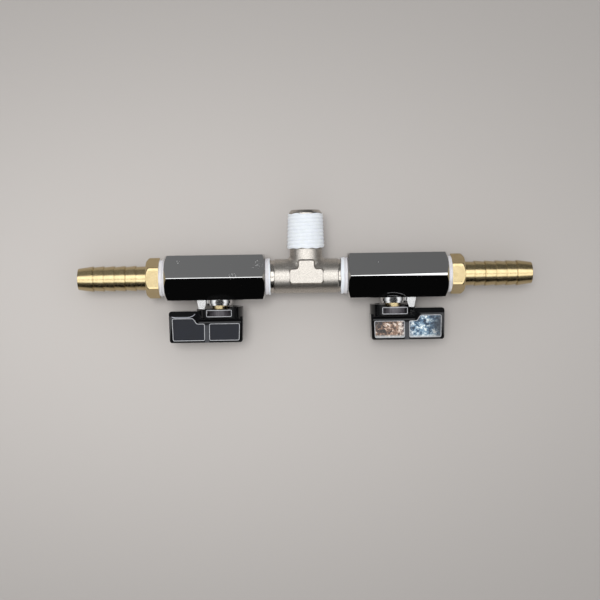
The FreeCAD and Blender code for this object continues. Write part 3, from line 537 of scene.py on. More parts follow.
def flattened(mesh, crease):
    """Join the triangles of each flat face, so that a bevel meets one face and not many.

    Edges that turn by more than the crease in degrees are shaded sharp.
    """
    work = bmesh.new()
    work.from_mesh(mesh)
    bmesh.ops.dissolve_limit(
        work,
        angle_limit=math.radians(FLAT_TURN),
        verts=work.verts,
        edges=work.edges,
        delimit=set(),
    )
    work.to_mesh(mesh)
    work.free()
    mesh.shade_smooth()
    mesh.set_sharp_from_angle(angle=math.radians(crease))
    return mesh


def buffed(mesh, place, normal):
    """Take a corner off at a plane, as a buffing wheel does: cut what lies beyond it and close the cut."""
    work = bmesh.new()
    work.from_mesh(mesh)
    everything = work.verts[:] + work.edges[:] + work.faces[:]
    cut = bmesh.ops.bisect_plane(work, geom=everything, plane_co=place, plane_no=normal, clear_outer=True)
    rim = [item for item in cut["geom_cut"] if isinstance(item, bmesh.types.BMEdge)]
    bmesh.ops.holes_fill(work, edges=rim)
    work.to_mesh(mesh)
    work.free()


# The strip on the right body widens from the tee's end to the hose's end. Its width is about its depth
# under the hexagon's corner times the spread, as the two facets fall away at 30 degrees
STRIP_WIDTHS = (0.05, 0.95)  # mm
STRIP_LEAN = math.radians(9)  # the strip faces a little towards the branch
BODY_FLATS = 18  # mm across the hexagon's flats
CORNER_HEIGHT = BODY_FLATS / math.sqrt(3) * MM
STRIP_SPREAD = 1 / math.tan(math.pi / 6 - STRIP_LEAN) + 1 / math.tan(math.pi / 6 + STRIP_LEAN)
for side in ("left", "right"):
    mesh = merged_copy(f"{side}_valve_body", f"{side}_chromed_body")
    if side == "right":
        low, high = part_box("right_valve_body")
        near = Vector((low.x, 0, CORNER_HEIGHT - STRIP_WIDTHS[0] * MM / STRIP_SPREAD))
        far = Vector((high.x, 0, CORNER_HEIGHT - STRIP_WIDTHS[1] * MM / STRIP_SPREAD))
        across = Vector((0, math.cos(STRIP_LEAN), -math.sin(STRIP_LEAN)))
        buffed(mesh, near, (far - near).cross(across))
    mesh = flattened(mesh, BODY_CREASE)
    body = new_piece(mesh, chrome, "manifold", "chrome_plated_brass", f"{side}_valve_body")
    worn_edges(body, EDGE_WEAR)
    level_faces(body)

# Balls, seats, retainers, stems, washers and rings, inside each body: a chromed brass ball turns between
# two PTFE seats, a screwed brass ring holds the outer one, and the turned brass stem is sealed by a PTFE
# washer and two rubber rings. All of them are shown as their CAD solids.
ball_plate = chrome.copy()
ball_plate.name = "mirror_chrome_ball"

# Moulded PTFE: white and half matt, with a faint clouding
CLOUDING = 0.8  # mm across
seat, tree, place = new_finish("moulded_ptfe_seat")
mottle = add_node(tree, "ShaderNodeTexNoise", {"Vector": place, "Scale": per_metre(CLOUDING)})
tinted = add_node(
    tree,
    "ShaderNodeMix",
    {"Factor": mottle.outputs["Fac"], 6: colour("#e2e2de"), 7: colour("#f1f1ee")},
    data_type="RGBA",
)
shader = add_node(
    tree,
    "ShaderNodeBsdfPrincipled",
    {"Base Color": tinted.outputs[2], "Roughness": 0.5, "IOR": 1.38},
)
add_node(tree, "ShaderNodeOutputMaterial", {"Surface": shader.outputs[0]})

# Turned brass, as the stems, the retainers and the hose barbs are: a yellow metal, with fine lathe rings
BRASS_FEED = 0.3  # mm, spacing of the lathe marks, drawn wider than they are so that they show
TARNISH = 2.5  # mm across a tarnished patch


def turned_brass(name, axis):
    """Brass turned about an axis of the frame: its lathe marks are rings square to that axis."""
    material, tree, place = new_finish(name)
    # The noise is drawn out twentyfold square to the axis, so that its cells become rings
    stretch = {"X": (1, 0.05, 0.05), "Y": (0.05, 1, 0.05)}[axis]
    squeezed = add_node(tree, "ShaderNodeVectorMath", {0: place, 1: stretch}, operation="MULTIPLY")
    rings = add_node(
        tree,
        "ShaderNodeTexNoise",
        {"Vector": squeezed.outputs[0], "Scale": per_metre(BRASS_FEED), "Detail": 2.0},
    )
    tarnish = add_node(
        tree,
        "ShaderNodeTexNoise",
        {"Vector": place, "Scale": per_metre(TARNISH), "Detail": 4.0},
    )
    tinted = add_node(
        tree,
        "ShaderNodeMix",
        {"Factor": tarnish.outputs["Fac"], 6: colour("#b29e72"), 7: colour("#c6b48e")},
        data_type="RGBA",
    )
    dulled = add_node(
        tree,
        "ShaderNodeMapRange",
        {"Value": rings.outputs["Fac"], "From Min": 0.3, "From Max": 0.7, "To Min": 0.19, "To Max": 0.27},
    )
    marks = add_node(
        tree,
        "ShaderNodeBump",
        {"Height": rings.outputs["Fac"], "Strength": 0.06, "Distance": 0.03 * MM},
    )
    shader = add_node(
        tree,
        "ShaderNodeBsdfPrincipled",
        {
            "Base Color": tinted.outputs[2],
            "Metallic": 1.0,
            "Roughness": dulled.outputs[0],
            "Normal": marks.outputs[0],
        },
    )
    add_node(tree, "ShaderNodeOutputMaterial", {"Surface": shader.outputs[0]})
    return material


def give(node, material):
    """Put a finish on a CAD node that is shown as it is."""
    for holder in nodes[node].material_slots:
        holder.material = material


barb_brass = turned_brass("turned_brass_along_run", "X")
stem_brass = turned_brass("turned_brass_stem", "Y")

# Seal rubber: matt black, with a faint grey bloom
BLOOM = 0.5  # mm across a patch of it
rubber, tree, place = new_finish("black_seal_rubber")
bloom = add_node(tree, "ShaderNodeTexNoise", {"Vector": place, "Scale": per_metre(BLOOM)})
tinted = add_node(
    tree,
    "ShaderNodeMix",
    {"Factor": bloom.outputs["Fac"], 6: colour("#141414"), 7: colour("#242424")},
    data_type="RGBA",
)
shader = add_node(tree, "ShaderNodeBsdfPrincipled", {"Base Color": tinted.outputs[2], "Roughness": 0.6})
add_node(tree, "ShaderNodeOutputMaterial", {"Surface": shader.outputs[0]})
for side in ("left", "right"):
    give(f"{side}_ball", ball_plate)
    give(f"{side}_inner_seat", seat)
    give(f"{side}_outer_seat", seat)
    give(f"{side}_thrust_washer", seat)
    give(f"{side}_seat_retainer", barb_brass)
    give(f"{side}_stem", stem_brass)
    give(f"{side}_stem_rings", rubber)

# Handles: black nylon, moulded in one piece and glossy, with satin panels sunk in both faces of the blade.
# A fine moulded bead runs round each panel and window, its crest painted pale as a painted highlight. The
# right one's panels hold a film of oil and dust, partly painted reflections.
BLADE_FACE = 4.2  # mm from the middle plane to the blade's face
PANEL_FLOOR = 3.7
FLOOR_SLACK = 0.05  # how far the middle of a face may be off that floor
CORE_OUT = 5.0  # radius of the hub's core
CORE_SLACK = 0.15  # and off that radius
HUB_OUT = 9.4
PANELS_BEGIN = -16.0  # mm from the bore's axis: the panels' floors all lie past this
CORE_ENDS = -15.6  # and the core's wall doesn't reach this
HANDLE_CREASE = 26.2  # degrees: an edge that turns more than this stays sharp
HANDLE_WEAR = 0.12 * MM
PANEL_ROUND = 0.6  # mm, rounding of a panel's corners
WINDOW_ROUND = 0.25
BEAD = 0.14  # mm, half the width of the bead
BEAD_HEIGHT = 0.1
BEAD_STEP = 0.2
BEAD_ROUND = 10  # places round the bead's section
BEND_PLACES = 7  # places round one corner of its line

# Glossy nylon: near black, with a clear mirror of the room that swells where the moulding sank
SINK = 5  # mm across a sunk place
gloss_plastic, tree, place = new_finish("gloss_black_moulding")
flow = add_node(tree, "ShaderNodeTexNoise", {"Vector": place, "Scale": per_metre(SINK), "Detail": 2.0})
sink = add_node(
    tree,
    "ShaderNodeBump",
    {"Height": flow.outputs["Fac"], "Strength": 0.05, "Distance": 0.2 * MM},
)
tinted = add_node(
    tree,
    "ShaderNodeMix",
    {"Factor": flow.outputs["Fac"], 6: colour("#070708"), 7: colour("#0e0e0f")},
    data_type="RGBA",
)
# The rib between the panels is scuffed grey, as by a thumb
RIB_PLACE = 5.1  # mm from the stem's axis to the rib's middle, away from the tee
RIB_HALF = 1.1  # half the rubbed width
RIB_CORE = 0.6  # share of that half over which it is at its full strength
RIB_BEGINS = -18.5  # mm from the bore's axis
RIB_FADE = 0.8  # mm farther on the scuff is at its full strength
parts = add_node(tree, "ShaderNodeSeparateXYZ", {"Vector": place})
off_middle = add_node(tree, "ShaderNodeMath", {0: parts.outputs["X"]}, operation="ABSOLUTE")
off_rib = add_node(
    tree,
    "ShaderNodeMath",
    {0: off_middle.outputs[0], 1: (STEM_PLACE + RIB_PLACE) * MM},
    operation="SUBTRACT",
)
off_rib = add_node(tree, "ShaderNodeMath", {0: off_rib.outputs[0]}, operation="ABSOLUTE")
rubbed_rib = add_node(
    tree,
    "ShaderNodeMapRange",
    {"Value": off_rib.outputs[0], "From Min": RIB_HALF * MM, "From Max": RIB_CORE * RIB_HALF * MM},
)
along_rib = add_node(
    tree,
    "ShaderNodeMapRange",
    {"Value": parts.outputs["Y"], "From Min": RIB_BEGINS * MM, "From Max": (RIB_BEGINS - RIB_FADE) * MM},
)
scuffed = add_node(
    tree,
    "ShaderNodeMath",
    {0: rubbed_rib.outputs[0], 1: along_rib.outputs[0]},
    operation="MULTIPLY",
)
tinted = add_node(
    tree,
    "ShaderNodeMix",
    {"Factor": scuffed.outputs[0], 6: tinted.outputs[2], 7: colour("#4c4d50")},
    data_type="RGBA",
)
# The front of the left lever carries a painted highlight: a pale line along a sagging curve under its bevel,
# where the rounded top edge catches the light. From its lowest place the line climbs with the fourth power of
# the distance
HIGHLIGHT_LINE_LOWEST = (15.2, -15.9)  # mm from the stem's axis and from the bore's
HIGHLIGHT_LINE_CLIMB = 0.00165
HIGHLIGHT_LINE_HALF = 0.17  # half the line's width
HIGHLIGHT_LINE_REACH = 5.4  # mm from the lowest place to the end beside the hub
HIGHLIGHT_LINE_TIP = 19.1  # mm from the stem's axis to the end at the lever's tip
HIGHLIGHT_LINE_FRONT = 3.5  # mm from the middle plane: only what is farther out than this gets the painted highlight
off_low = add_node(
    tree,
    "ShaderNodeMath",
    {0: parts.outputs["X"], 1: (STEM_PLACE + HIGHLIGHT_LINE_LOWEST[0]) * MM},
    operation="ADD",
)
off_low = add_node(tree, "ShaderNodeMath", {0: off_low.outputs[0]}, operation="ABSOLUTE")
in_mm = add_node(tree, "ShaderNodeMath", {0: off_low.outputs[0], 1: MM}, operation="DIVIDE")
climb = add_node(tree, "ShaderNodeMath", {0: in_mm.outputs[0], 1: 4.0}, operation="POWER")
sag = add_node(
    tree,
    "ShaderNodeMath",
    {0: climb.outputs[0], 1: HIGHLIGHT_LINE_CLIMB * MM, 2: HIGHLIGHT_LINE_LOWEST[1] * MM},
    operation="MULTIPLY_ADD",
)
off_line = add_node(tree, "ShaderNodeMath", {0: parts.outputs["Y"], 1: sag.outputs[0]}, operation="SUBTRACT")
off_line = add_node(tree, "ShaderNodeMath", {0: off_line.outputs[0]}, operation="ABSOLUTE")
painted_line_highlight = add_node(
    tree,
    "ShaderNodeMapRange",
    {"Value": off_line.outputs[0], "From Min": HIGHLIGHT_LINE_HALF * MM, "From Max": 0.5 * HIGHLIGHT_LINE_HALF * MM},
).outputs[0]
for value, bound, kept in (
    (off_low.outputs[0], HIGHLIGHT_LINE_REACH * MM, "LESS_THAN"),
    (parts.outputs["X"], -(STEM_PLACE + HIGHLIGHT_LINE_TIP) * MM, "GREATER_THAN"),
    (parts.outputs["Z"], HIGHLIGHT_LINE_FRONT * MM, "GREATER_THAN"),
):
    inside = add_node(tree, "ShaderNodeMath", {0: value, 1: bound}, operation=kept)
    both = add_node(tree, "ShaderNodeMath", {0: painted_line_highlight, 1: inside.outputs[0]}, operation="MULTIPLY")
    painted_line_highlight = both.outputs[0]
# Painted highlight: the pale line is mixed into the lever's colour
tinted = add_node(
    tree,
    "ShaderNodeMix",
    {"Factor": painted_line_highlight, 6: tinted.outputs[2], 7: colour("#b4b5bd")},
    data_type="RGBA",
)
shader = add_node(
    tree,
    "ShaderNodeBsdfPrincipled",
    {"Base Color": tinted.outputs[2], "Roughness": 0.06, "IOR": 1.37, "Normal": sink.outputs[0]},
)
add_node(tree, "ShaderNodeOutputMaterial", {"Surface": shader.outputs[0]})

# The bead's crest: the same nylon, its colour painted pale grey as a painted highlight of the light it
# catches, and half matt
HIGHLIGHT_BREAK = 0.9  # mm along a stretch where the painted highlight is brighter or dimmer
bead_highlight_finish, tree, place = new_finish("bead_crest_painted_highlight")
highlight_break = add_node(tree, "ShaderNodeTexNoise", {"Vector": place, "Scale": per_metre(HIGHLIGHT_BREAK), "Detail": 4.0})
tinted = add_node(
    tree,
    "ShaderNodeMix",
    {"Factor": highlight_break.outputs["Fac"], 6: colour("#8d8e91"), 7: colour("#d3d3d5")},
    data_type="RGBA",
)
shader = add_node(
    tree,
    "ShaderNodeBsdfPrincipled",
    {"Base Color": tinted.outputs[2], "Roughness": 0.35, "IOR": 1.46},
)
add_node(tree, "ShaderNodeOutputMaterial", {"Surface": shader.outputs[0]})

# The panels' floor: nylon moulded against a fine tooth, which spreads the room's light to a dark blue grey
TOOTH_GRAIN = 0.35  # mm, grain of that tooth, drawn coarser than it is so that it shows
GREY_PATCH = 4  # mm across a place that is a little paler
satin, tree, place = new_finish("satin_moulded_panel")
spark = add_node(
    tree,
    "ShaderNodeTexNoise",
    {"Vector": place, "Scale": per_metre(TOOTH_GRAIN), "Detail": 3.0},
)
cloud = add_node(
    tree,
    "ShaderNodeTexNoise",
    {"Vector": place, "Scale": per_metre(GREY_PATCH), "Detail": 3.0},
)
tinted = add_node(
    tree,
    "ShaderNodeMix",
    {"Factor": cloud.outputs["Fac"], 6: colour("#02040b"), 7: colour("#070b18")},
    data_type="RGBA",
)
tooth = add_node(
    tree,
    "ShaderNodeBump",
    {"Height": spark.outputs["Fac"], "Strength": 0.3, "Distance": 0.03 * MM},
)
shader = add_node(
    tree,
    "ShaderNodeBsdfPrincipled",
    {"Base Color": tinted.outputs[2], "Roughness": 0.5, "IOR": 1.36, "Normal": tooth.outputs[0]},
)
add_node(tree, "ShaderNodeOutputMaterial", {"Surface": shader.outputs[0]})

# The core inside the hub is the same black nylon, its colour painted grey as a painted reflection of the
# room's light, and shows fine draw lines along the stem
DRAW_LINES = 0.5  # mm, spacing of those lines, which are ten times as long as that
core_painted_reflection, tree, place = new_finish("moulded_core_painted_reflection")
thin = add_node(tree, "ShaderNodeVectorMath", {0: place, 1: (1, 0.1, 1)}, operation="MULTIPLY")
drawn = add_node(
    tree,
    "ShaderNodeTexNoise",
    {"Vector": thin.outputs[0], "Scale": per_metre(DRAW_LINES), "Detail": 2.0},
)
tinted = add_node(
    tree,
    "ShaderNodeMix",
    {"Factor": drawn.outputs["Fac"], 6: colour("#37363a"), 7: colour("#757075")},
    data_type="RGBA",
)
shader = add_node(
    tree,
    "ShaderNodeBsdfPrincipled",
    {"Base Color": tinted.outputs[2], "Roughness": 0.32, "IOR": 1.5},
)
add_node(tree, "ShaderNodeOutputMaterial", {"Surface": shader.outputs[0]})

# Dried film of oil and dust, with painted reflections: pale warm patches over the hub's panel and cold ones
# over the lever's, chalky along the far edge and worn away to the plastic in two corners
DUST_PATCH = 1.3  # mm across
POOL = 3.6  # mm across
WARM_TO_COLD = (2, 8)  # mm from the stem's axis: warm up to the first, cold from the second
CHALK_BEGINS = -24.0  # mm from the bore's axis
CHALK_FULL = -25.0
BARE_SPOTS = (((26.0, -18.0, 3.7), 6.0), ((55.5, -20.5, 3.7), 8.5))  # each a place and a radius, in mm
BARE_CORE = 0.4  # share of that radius over which nearly nothing is left
dust_and_painted_sheen, tree, place = new_finish("oil_dust_and_painted_sheen")
patches = add_node(
    tree,
    "ShaderNodeTexNoise",
    {
        "Vector": place,
        "Scale": per_metre(DUST_PATCH),
        "Detail": 6.0,
        "Roughness": 0.75,
        "Distortion": 0.4,
    },
)
# The film gathered in pools some millimetres across, so it is thicker in some places than in others
pools = add_node(
    tree,
    "ShaderNodeTexNoise",
    {"Vector": place, "Scale": per_metre(POOL), "Detail": 1.0, "Distortion": 0.6},
)
deeper = add_node(
    tree,
    "ShaderNodeMapRange",
    {"Value": pools.outputs["Fac"], "From Min": 0.3, "From Max": 0.7, "To Min": -0.07, "To Max": 0.07},
)
gathered = add_node(
    tree,
    "ShaderNodeMath",
    {0: patches.outputs["Fac"], 1: deeper.outputs[0]},
    operation="ADD",
)
# The pale ends of these ramps are painted reflections of the room in the film
warm = add_node(tree, "ShaderNodeValToRGB", {"Fac": gathered.outputs[0]})
cold = add_node(tree, "ShaderNodeValToRGB", {"Fac": gathered.outputs[0]})
for ramp, stops in (
    (warm, ((0.38, "#121214"), (0.47, "#5d4a40"), (0.54, "#b08a70"), (0.60, "#f2e9df"))),
    (cold, ((0.36, "#0f1722"), (0.46, "#3a5873"), (0.54, "#86a4b8"), (0.61, "#f0f4f2"))),
):
    elements = ramp.color_ramp.elements
    while len(elements) < len(stops):
        elements.new(0.5)
    for element, (at, code) in zip(elements, stops):
        element.position = at
        element.color = colour(code)
parts = add_node(tree, "ShaderNodeSeparateXYZ", {"Vector": place})
beside = add_node(
    tree,
    "ShaderNodeMapRange",
    {
        "Value": parts.outputs["X"],
        "From Min": (STEM_PLACE + WARM_TO_COLD[0]) * MM,
        "From Max": (STEM_PLACE + WARM_TO_COLD[1]) * MM,
    },
)
tinted = add_node(
    tree,
    "ShaderNodeMix",
    {"Factor": beside.outputs[0], 6: warm.outputs[0], 7: cold.outputs[0]},
    data_type="RGBA",
)
chalk = add_node(
    tree,
    "ShaderNodeMapRange",
    {
        "Value": parts.outputs["Y"],
        "From Min": CHALK_BEGINS * MM,
        "From Max": CHALK_FULL * MM,
        "To Max": 0.8,
    },
)
tinted = add_node(
    tree,
    "ShaderNodeMix",
    {"Factor": chalk.outputs[0], 6: tinted.outputs[2], 7: colour("#dfe4e4")},
    data_type="RGBA",
)
for spot, reach in BARE_SPOTS:
    off = add_node(
        tree,
        "ShaderNodeVectorMath",
        {0: place, 1: [value * MM for value in spot]},
        operation="DISTANCE",
    )
    bare = add_node(
        tree,
        "ShaderNodeMapRange",
        {
            "Value": off.outputs["Value"],
            "From Min": reach * MM,
            "From Max": BARE_CORE * reach * MM,
            "To Max": 0.9,
        },
    )
    tinted = add_node(
        tree,
        "ShaderNodeMix",
        {"Factor": bare.outputs[0], 6: tinted.outputs[2], 7: colour("#15181f")},
        data_type="RGBA",
    )
shader = add_node(tree, "ShaderNodeBsdfPrincipled", {"Base Color": tinted.outputs[2], "Roughness": 0.45})
add_node(tree, "ShaderNodeOutputMaterial", {"Surface": shader.outputs[0]})


def mark_handle(mesh, outward):
    """Give the handle's panel floors its second finish, and its core the third.

    Places are in mm: across is from the stem's axis and depth from the middle plane. A panel's floor is
    level and lies at the floor's height, and the core's wall is upright and lies a radius from the axis.
    """
    count = len(mesh.polygons)
    centres = np.empty(count * 3, np.float32)
    mesh.polygons.foreach_get("center", centres)
    centres = centres.reshape(-1, 3).astype(float) / MM
    normals = np.empty(count * 3, np.float32)
    mesh.polygons.foreach_get("normal", normals)
    normals = abs(normals.reshape(-1, 3))
    across = centres[:, 0] * outward - STEM_PLACE
    depth = centres[:, 2]
    at_floor = abs(abs(depth) - PANEL_FLOOR) < FLOOR_SLACK
    at_core = abs(np.hypot(across, depth) - CORE_OUT) < CORE_SLACK
    level = normals[:, 2] > 0.9
    upright = normals[:, 1] < 0.1
    floors = at_floor & level & (centres[:, 1] < PANELS_BEGIN)
    core = at_core & upright & (centres[:, 1] > CORE_ENDS)
    index = np.zeros(count, np.int32)
    index[floors] = 1
    index[core] = 2
    mesh.polygons.foreach_set("material_index", index)


def rounded_outline(corners, radius):
    """Even places along a closed outline with rounded corners.

    Each corner becomes the parabola between its two sides that leaves them at a distance of radius from
    the corner.
    """
    corners = np.array(corners, float)
    before = np.roll(corners, 1, axis=0) - corners
    after = np.roll(corners, -1, axis=0) - corners
    start = corners + radius * before / np.linalg.norm(before, axis=1, keepdims=True)
    end = corners + radius * after / np.linalg.norm(after, axis=1, keepdims=True)
    share = np.linspace(0, 1, BEND_PLACES)[None, :, None]
    towards_corner = 2 * share * (1 - share) * corners[:, None]
    bends = (1 - share) ** 2 * start[:, None] + towards_corner + share**2 * end[:, None]
    line = bends.reshape(-1, 2)
    line = np.concatenate([line, line[:1]])
    at = np.concatenate([[0], np.cumsum(np.linalg.norm(np.diff(line, axis=0), axis=1))])
    samples = np.linspace(0, at[-1], int(at[-1] / BEAD_STEP), endpoint=False)
    return np.stack([np.interp(samples, at, line[:, side]) for side in range(2)], axis=1)


def bead(name, line, up):
    """A flattened round bead along a closed line of places in mm, on a surface that faces the way of up.

    Its section is an ellipse: the cosine of the angle goes along the surface, square to the line, and the
    sine goes up.
    """
    ahead = np.roll(line, -1, axis=0) - np.roll(line, 1, axis=0)
    beside = np.cross(ahead, up)
    beside /= np.linalg.norm(beside, axis=1, keepdims=True)
    angle = np.linspace(0, 2 * np.pi, BEAD_ROUND, endpoint=False)[None, :, None]
    round_it = BEAD * np.cos(angle) * beside[:, None] + BEAD_HEIGHT * np.sin(angle) * up[:, None]
    return closed_surface(name, (line[:, None] + round_it) * MM)


# Corners of each bead's line in mm, from the stem's axis away from the tee and from the bore's axis
PANELS = {
    "lever_panel": ((6.1, -18.5), (9.2, -18.5), (10.6, -16.3), (18.9, -16.3), (18.65, -25.1), (6.1, -25.1)),
    "hub_panel": ((4.1, -18.5), (-7.9, -18.5), (-7.65, -25.1), (4.1, -25.1)),
    "window": ((4.9, -12.9), (-4.9, -12.9), (-4.9, -15.4), (4.9, -15.4)),
}
for side, outward, panel in (("left", -1, satin), ("right", 1, dust_and_painted_sheen)):
    group = f"{side}_handle_group"
    mesh = flattened(merged_copy(f"{side}_handle", f"{side}_moulded_handle"), HANDLE_CREASE)
    handle = new_piece(mesh, gloss_plastic, group, "handle_plastic", f"{side}_handle")
    for finish in (panel, core_painted_reflection):
        mesh.materials.append(finish)
    mark_handle(mesh, outward)
    worn_edges(handle, HANDLE_WEAR)
    level_faces(handle)
    for face, part in ((1, "near"), (-1, "far")):
        for shape, corners in PANELS.items():
            if shape == "window":
                x, y = rounded_outline(corners, WINDOW_ROUND).T
                z = np.sqrt(HUB_OUT**2 - x**2)
                up = np.stack([x, 0 * x, z], axis=1) / HUB_OUT
            else:
                x, y = rounded_outline(corners, PANEL_ROUND).T
                z = np.full(len(x), BLADE_FACE)
                up = np.tile((0, 0, 1.0), (len(x), 1))
            side_of = np.array((outward, 1, face))
            line = np.stack([x + STEM_PLACE, y, z], axis=1) * side_of
            mesh = bead(f"{side}_{shape}_{part}_bead", line, up * side_of)
            new_piece(mesh, bead_highlight_finish, group, "handle_plastic")

# Handle screws: zinc plated steel, with a hexagon socket. Each sits at the bottom of the counterbore in a
# handle's blade and holds the handle on its stem. They are shown as their CAD solids.

# Bright zinc plate: a pale grey metal, half dull, with a faint spangle
SPANGLE = 0.6  # mm across
zinc, tree, place = new_finish("zinc_plated_steel")
spangle = add_node(tree, "ShaderNodeTexNoise", {"Vector": place, "Scale": per_metre(SPANGLE), "Detail": 3.0})
tinted = add_node(
    tree,
    "ShaderNodeMix",
    {"Factor": spangle.outputs["Fac"], 6: colour("#a3a6a8"), 7: colour("#c2c5c6")},
    data_type="RGBA",
)
shader = add_node(
    tree,
    "ShaderNodeBsdfPrincipled",
    {"Base Color": tinted.outputs[2], "Metallic": 1.0, "Roughness": 0.32},
)
add_node(tree, "ShaderNodeOutputMaterial", {"Surface": shader.outputs[0]})
for side in ("left", "right"):
    give(f"{side}_handle_screw", zinc)

# Hose barbs: turned from hexagon brass bar, with a male thread that goes into the valve, a chamfered
# collar for the spanner and five ring teeth. They are made by turning a profile a full circle.
BARB_ROUND = 96  # places round the barb
BARB_STEP = 0.13  # mm between places along the profile
COLLAR_FLATS = 14.29  # mm across the hexagon's flats
COLLAR_LENGTH = 5.2
COLLAR_FACE = 7.05  # radius of the collar's end inside its chamfer
COLLAR_BEYOND = 9.2  # a radius past the hexagon's corners, where the hexagon takes over
COLLAR_CORNER = 0.12  # how much the hexagon's corners are rounded off
COLLAR_RIM = 0.05  # length over which the profile drops to the collar's end
THREAD_LENGTH = 12.6
THREAD_LEAD = 1.2  # length of the lead-in at the thread's end
THREAD_LEAD_DEPTH = 0.9  # how much smaller its radius is there
TIP = 32.6  # from the collar's thread side to the barb's end
TIP_RADIUS = 4.3
BARB_BORE = 3.4
TEETH = 5
TOOTH = 4.27  # from one tooth to the next
CREST = 5.1
ROOT = 4.75
NECK = 4.9
LAND = 0.35
LEAD = 6.0  # from the last tooth to the end
RELIEF = 0.14  # depth of the tool's mark at the root of each tooth
RELIEF_BEGINS = 0.4  # how far before the tooth the mark begins, and from where it has its full depth
RELIEF_DEEPEST = 0.3


def barb_profile():
    """The barb's half section as a closed line of (along, radius), from the thread over the tip and back.

    Each tooth rises squarely on the valve's side, has a narrow land and falls to the next root.
    """
    corners = [(-THREAD_LENGTH, BARB_BORE), (-THREAD_LENGTH, THREAD_RADIUS - THREAD_LEAD_DEPTH)]
    corners += [(-THREAD_LENGTH + THREAD_LEAD, THREAD_RADIUS + THREAD_LEAD * THREAD_TAPER)]
    corners += [(0, THREAD_RADIUS + THREAD_LENGTH * THREAD_TAPER), (0, COLLAR_BEYOND)]
    corners += [(COLLAR_LENGTH - COLLAR_RIM, COLLAR_BEYOND), (COLLAR_LENGTH, COLLAR_FACE)]
    corners += [(COLLAR_LENGTH, NECK)]
    for tooth in reversed(range(TEETH)):
        crest = TIP - LEAD - tooth * TOOTH
        corners += [(crest - RELIEF_BEGINS, ROOT), (crest - RELIEF_DEEPEST, ROOT - RELIEF)]
        corners += [(crest, ROOT - RELIEF), (crest, CREST), (crest + LAND, CREST)]
    corners += [(TIP, TIP_RADIUS), (TIP, BARB_BORE)]
    return np.array(corners + corners[:1])


def barb_surface(name, collar_place, outward):
    """The profile turned about X. Where it passes the collar its radius is cut to the hexagon's.

    The hexagon's radius is half its flats over the cosine of the angle from the middle of the flat. The
    cone over its end cuts the corners, and a short average along the profile rounds every edge.
    """
    corners = barb_profile()
    lengths = np.hypot(*np.diff(corners, axis=0).T)
    at = np.concatenate([[0], np.cumsum(lengths)])
    samples = np.unique(np.concatenate([np.arange(0, at[-1], BARB_STEP), at[:-1]]))
    along = np.interp(samples, at, corners[:, 0])[:, None]
    radius = np.interp(samples, at, corners[:, 1])[:, None]
    angle = np.linspace(0, 2 * np.pi, BARB_ROUND, endpoint=False)[None, :]
    from_flat = (angle + np.pi / 6) % (np.pi / 3) - np.pi / 6
    hexagon = COLLAR_FLATS / 2 / np.cos(from_flat)
    rounded = np.minimum(hexagon, COLLAR_FLATS / np.sqrt(3) - COLLAR_CORNER)
    cone = COLLAR_FACE + (COLLAR_LENGTH - along)
    limit = np.minimum(rounded, np.maximum(cone, COLLAR_FACE))
    full = np.where(radius > COLLAR_FACE, limit, np.broadcast_to(radius, limit.shape))
    along = np.broadcast_to(along, full.shape)
    full = (np.roll(full, 1, axis=0) + 4 * full + np.roll(full, -1, axis=0)) / 6
    turn = np.broadcast_to(angle + np.pi / 2, full.shape)
    return closed_surface(name, turned("X", collar_place + outward * along, full, turn))


# The film in each barb's thread: where it begins and ends from the thread's end, how ragged its edges
# are, its seed, and how far each side's edge leans
FILM_BEGINS = 1.5
FILM_ENDS = 12.55
FILM_RAGGED = 0.06
FILM_SEED = 12
FILM_LEANS = {"left": 0.1, "right": 0.05}
for side, outward in (("left", -1), ("right", 1)):
    low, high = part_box(f"{side}_hose_barb")
    tip = (high.x if outward > 0 else -low.x) / MM
    collar_place = outward * (tip - TIP)
    mesh = barb_surface(f"{side}_turned_barb", collar_place, outward)
    new_piece(mesh, barb_brass, "manifold", "brass", f"{side}_hose_barb")
    thread_end = collar_place - outward * THREAD_LENGTH
    mouth = (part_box(f"{side}_valve_body")[1].x if outward > 0 else -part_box(f"{side}_valve_body")[0].x) / MM
    film_mouth = mouth - (tip - TIP - THREAD_LENGTH)
    reach = (FILM_BEGINS, film_mouth, FILM_ENDS)
    edge = (FILM_LEANS[side], FILM_RAGGED, FILM_SEED)
    mesh = wound_tape(f"{side}_barb_film", "X", thread_end, outward, *reach, *edge)
    new_piece(mesh, film, "manifold", "thread_tape", f"{side}_barb_tape")

# Floor: a plain pale table top. The part lies on the corners of its bodies and on its handles' rims,
# so the table leans by about three degrees against the frame.
REST_RIDGE = -10.34 * MM  # height of the table under the run's axis
REST_LEAN = math.radians(3.2)
FLOOR_HALF = 12.0  # metres from its middle to each side
LIGHT_POOL_CENTRE = (-64 * MM, -10 * MM, 0)  # the painted pool of light is brightest here
LIGHT_POOL_REACH = 141 * MM  # across the run the painted falloff is darkest from this distance times the next share on
LIGHT_POOL_ENDS = 1.3
LIGHT_POOL_LENGTH = 0.55  # along the run the painted falloff darkens this much more slowly

# Board with a pale matt paint, and a painted lamp falloff that darkens it towards its edges
table_painted_falloff, tree, place = new_finish("pale_board_painted_falloff")
from_centre = add_node(tree, "ShaderNodeVectorMath", {0: place, 1: LIGHT_POOL_CENTRE}, operation="SUBTRACT")
scaled = add_node(
    tree,
    "ShaderNodeVectorMath",
    {0: from_centre.outputs[0], 1: (LIGHT_POOL_LENGTH / LIGHT_POOL_REACH, 1 / LIGHT_POOL_REACH, 0)},
    operation="MULTIPLY",
)
reach = add_node(tree, "ShaderNodeVectorMath", {0: scaled.outputs[0]}, operation="LENGTH")
painted_falloff = add_node(
    tree,
    "ShaderNodeMapRange",
    {"Value": reach.outputs["Value"], "From Max": LIGHT_POOL_ENDS},
    interpolation_type="SMOOTHSTEP",
)
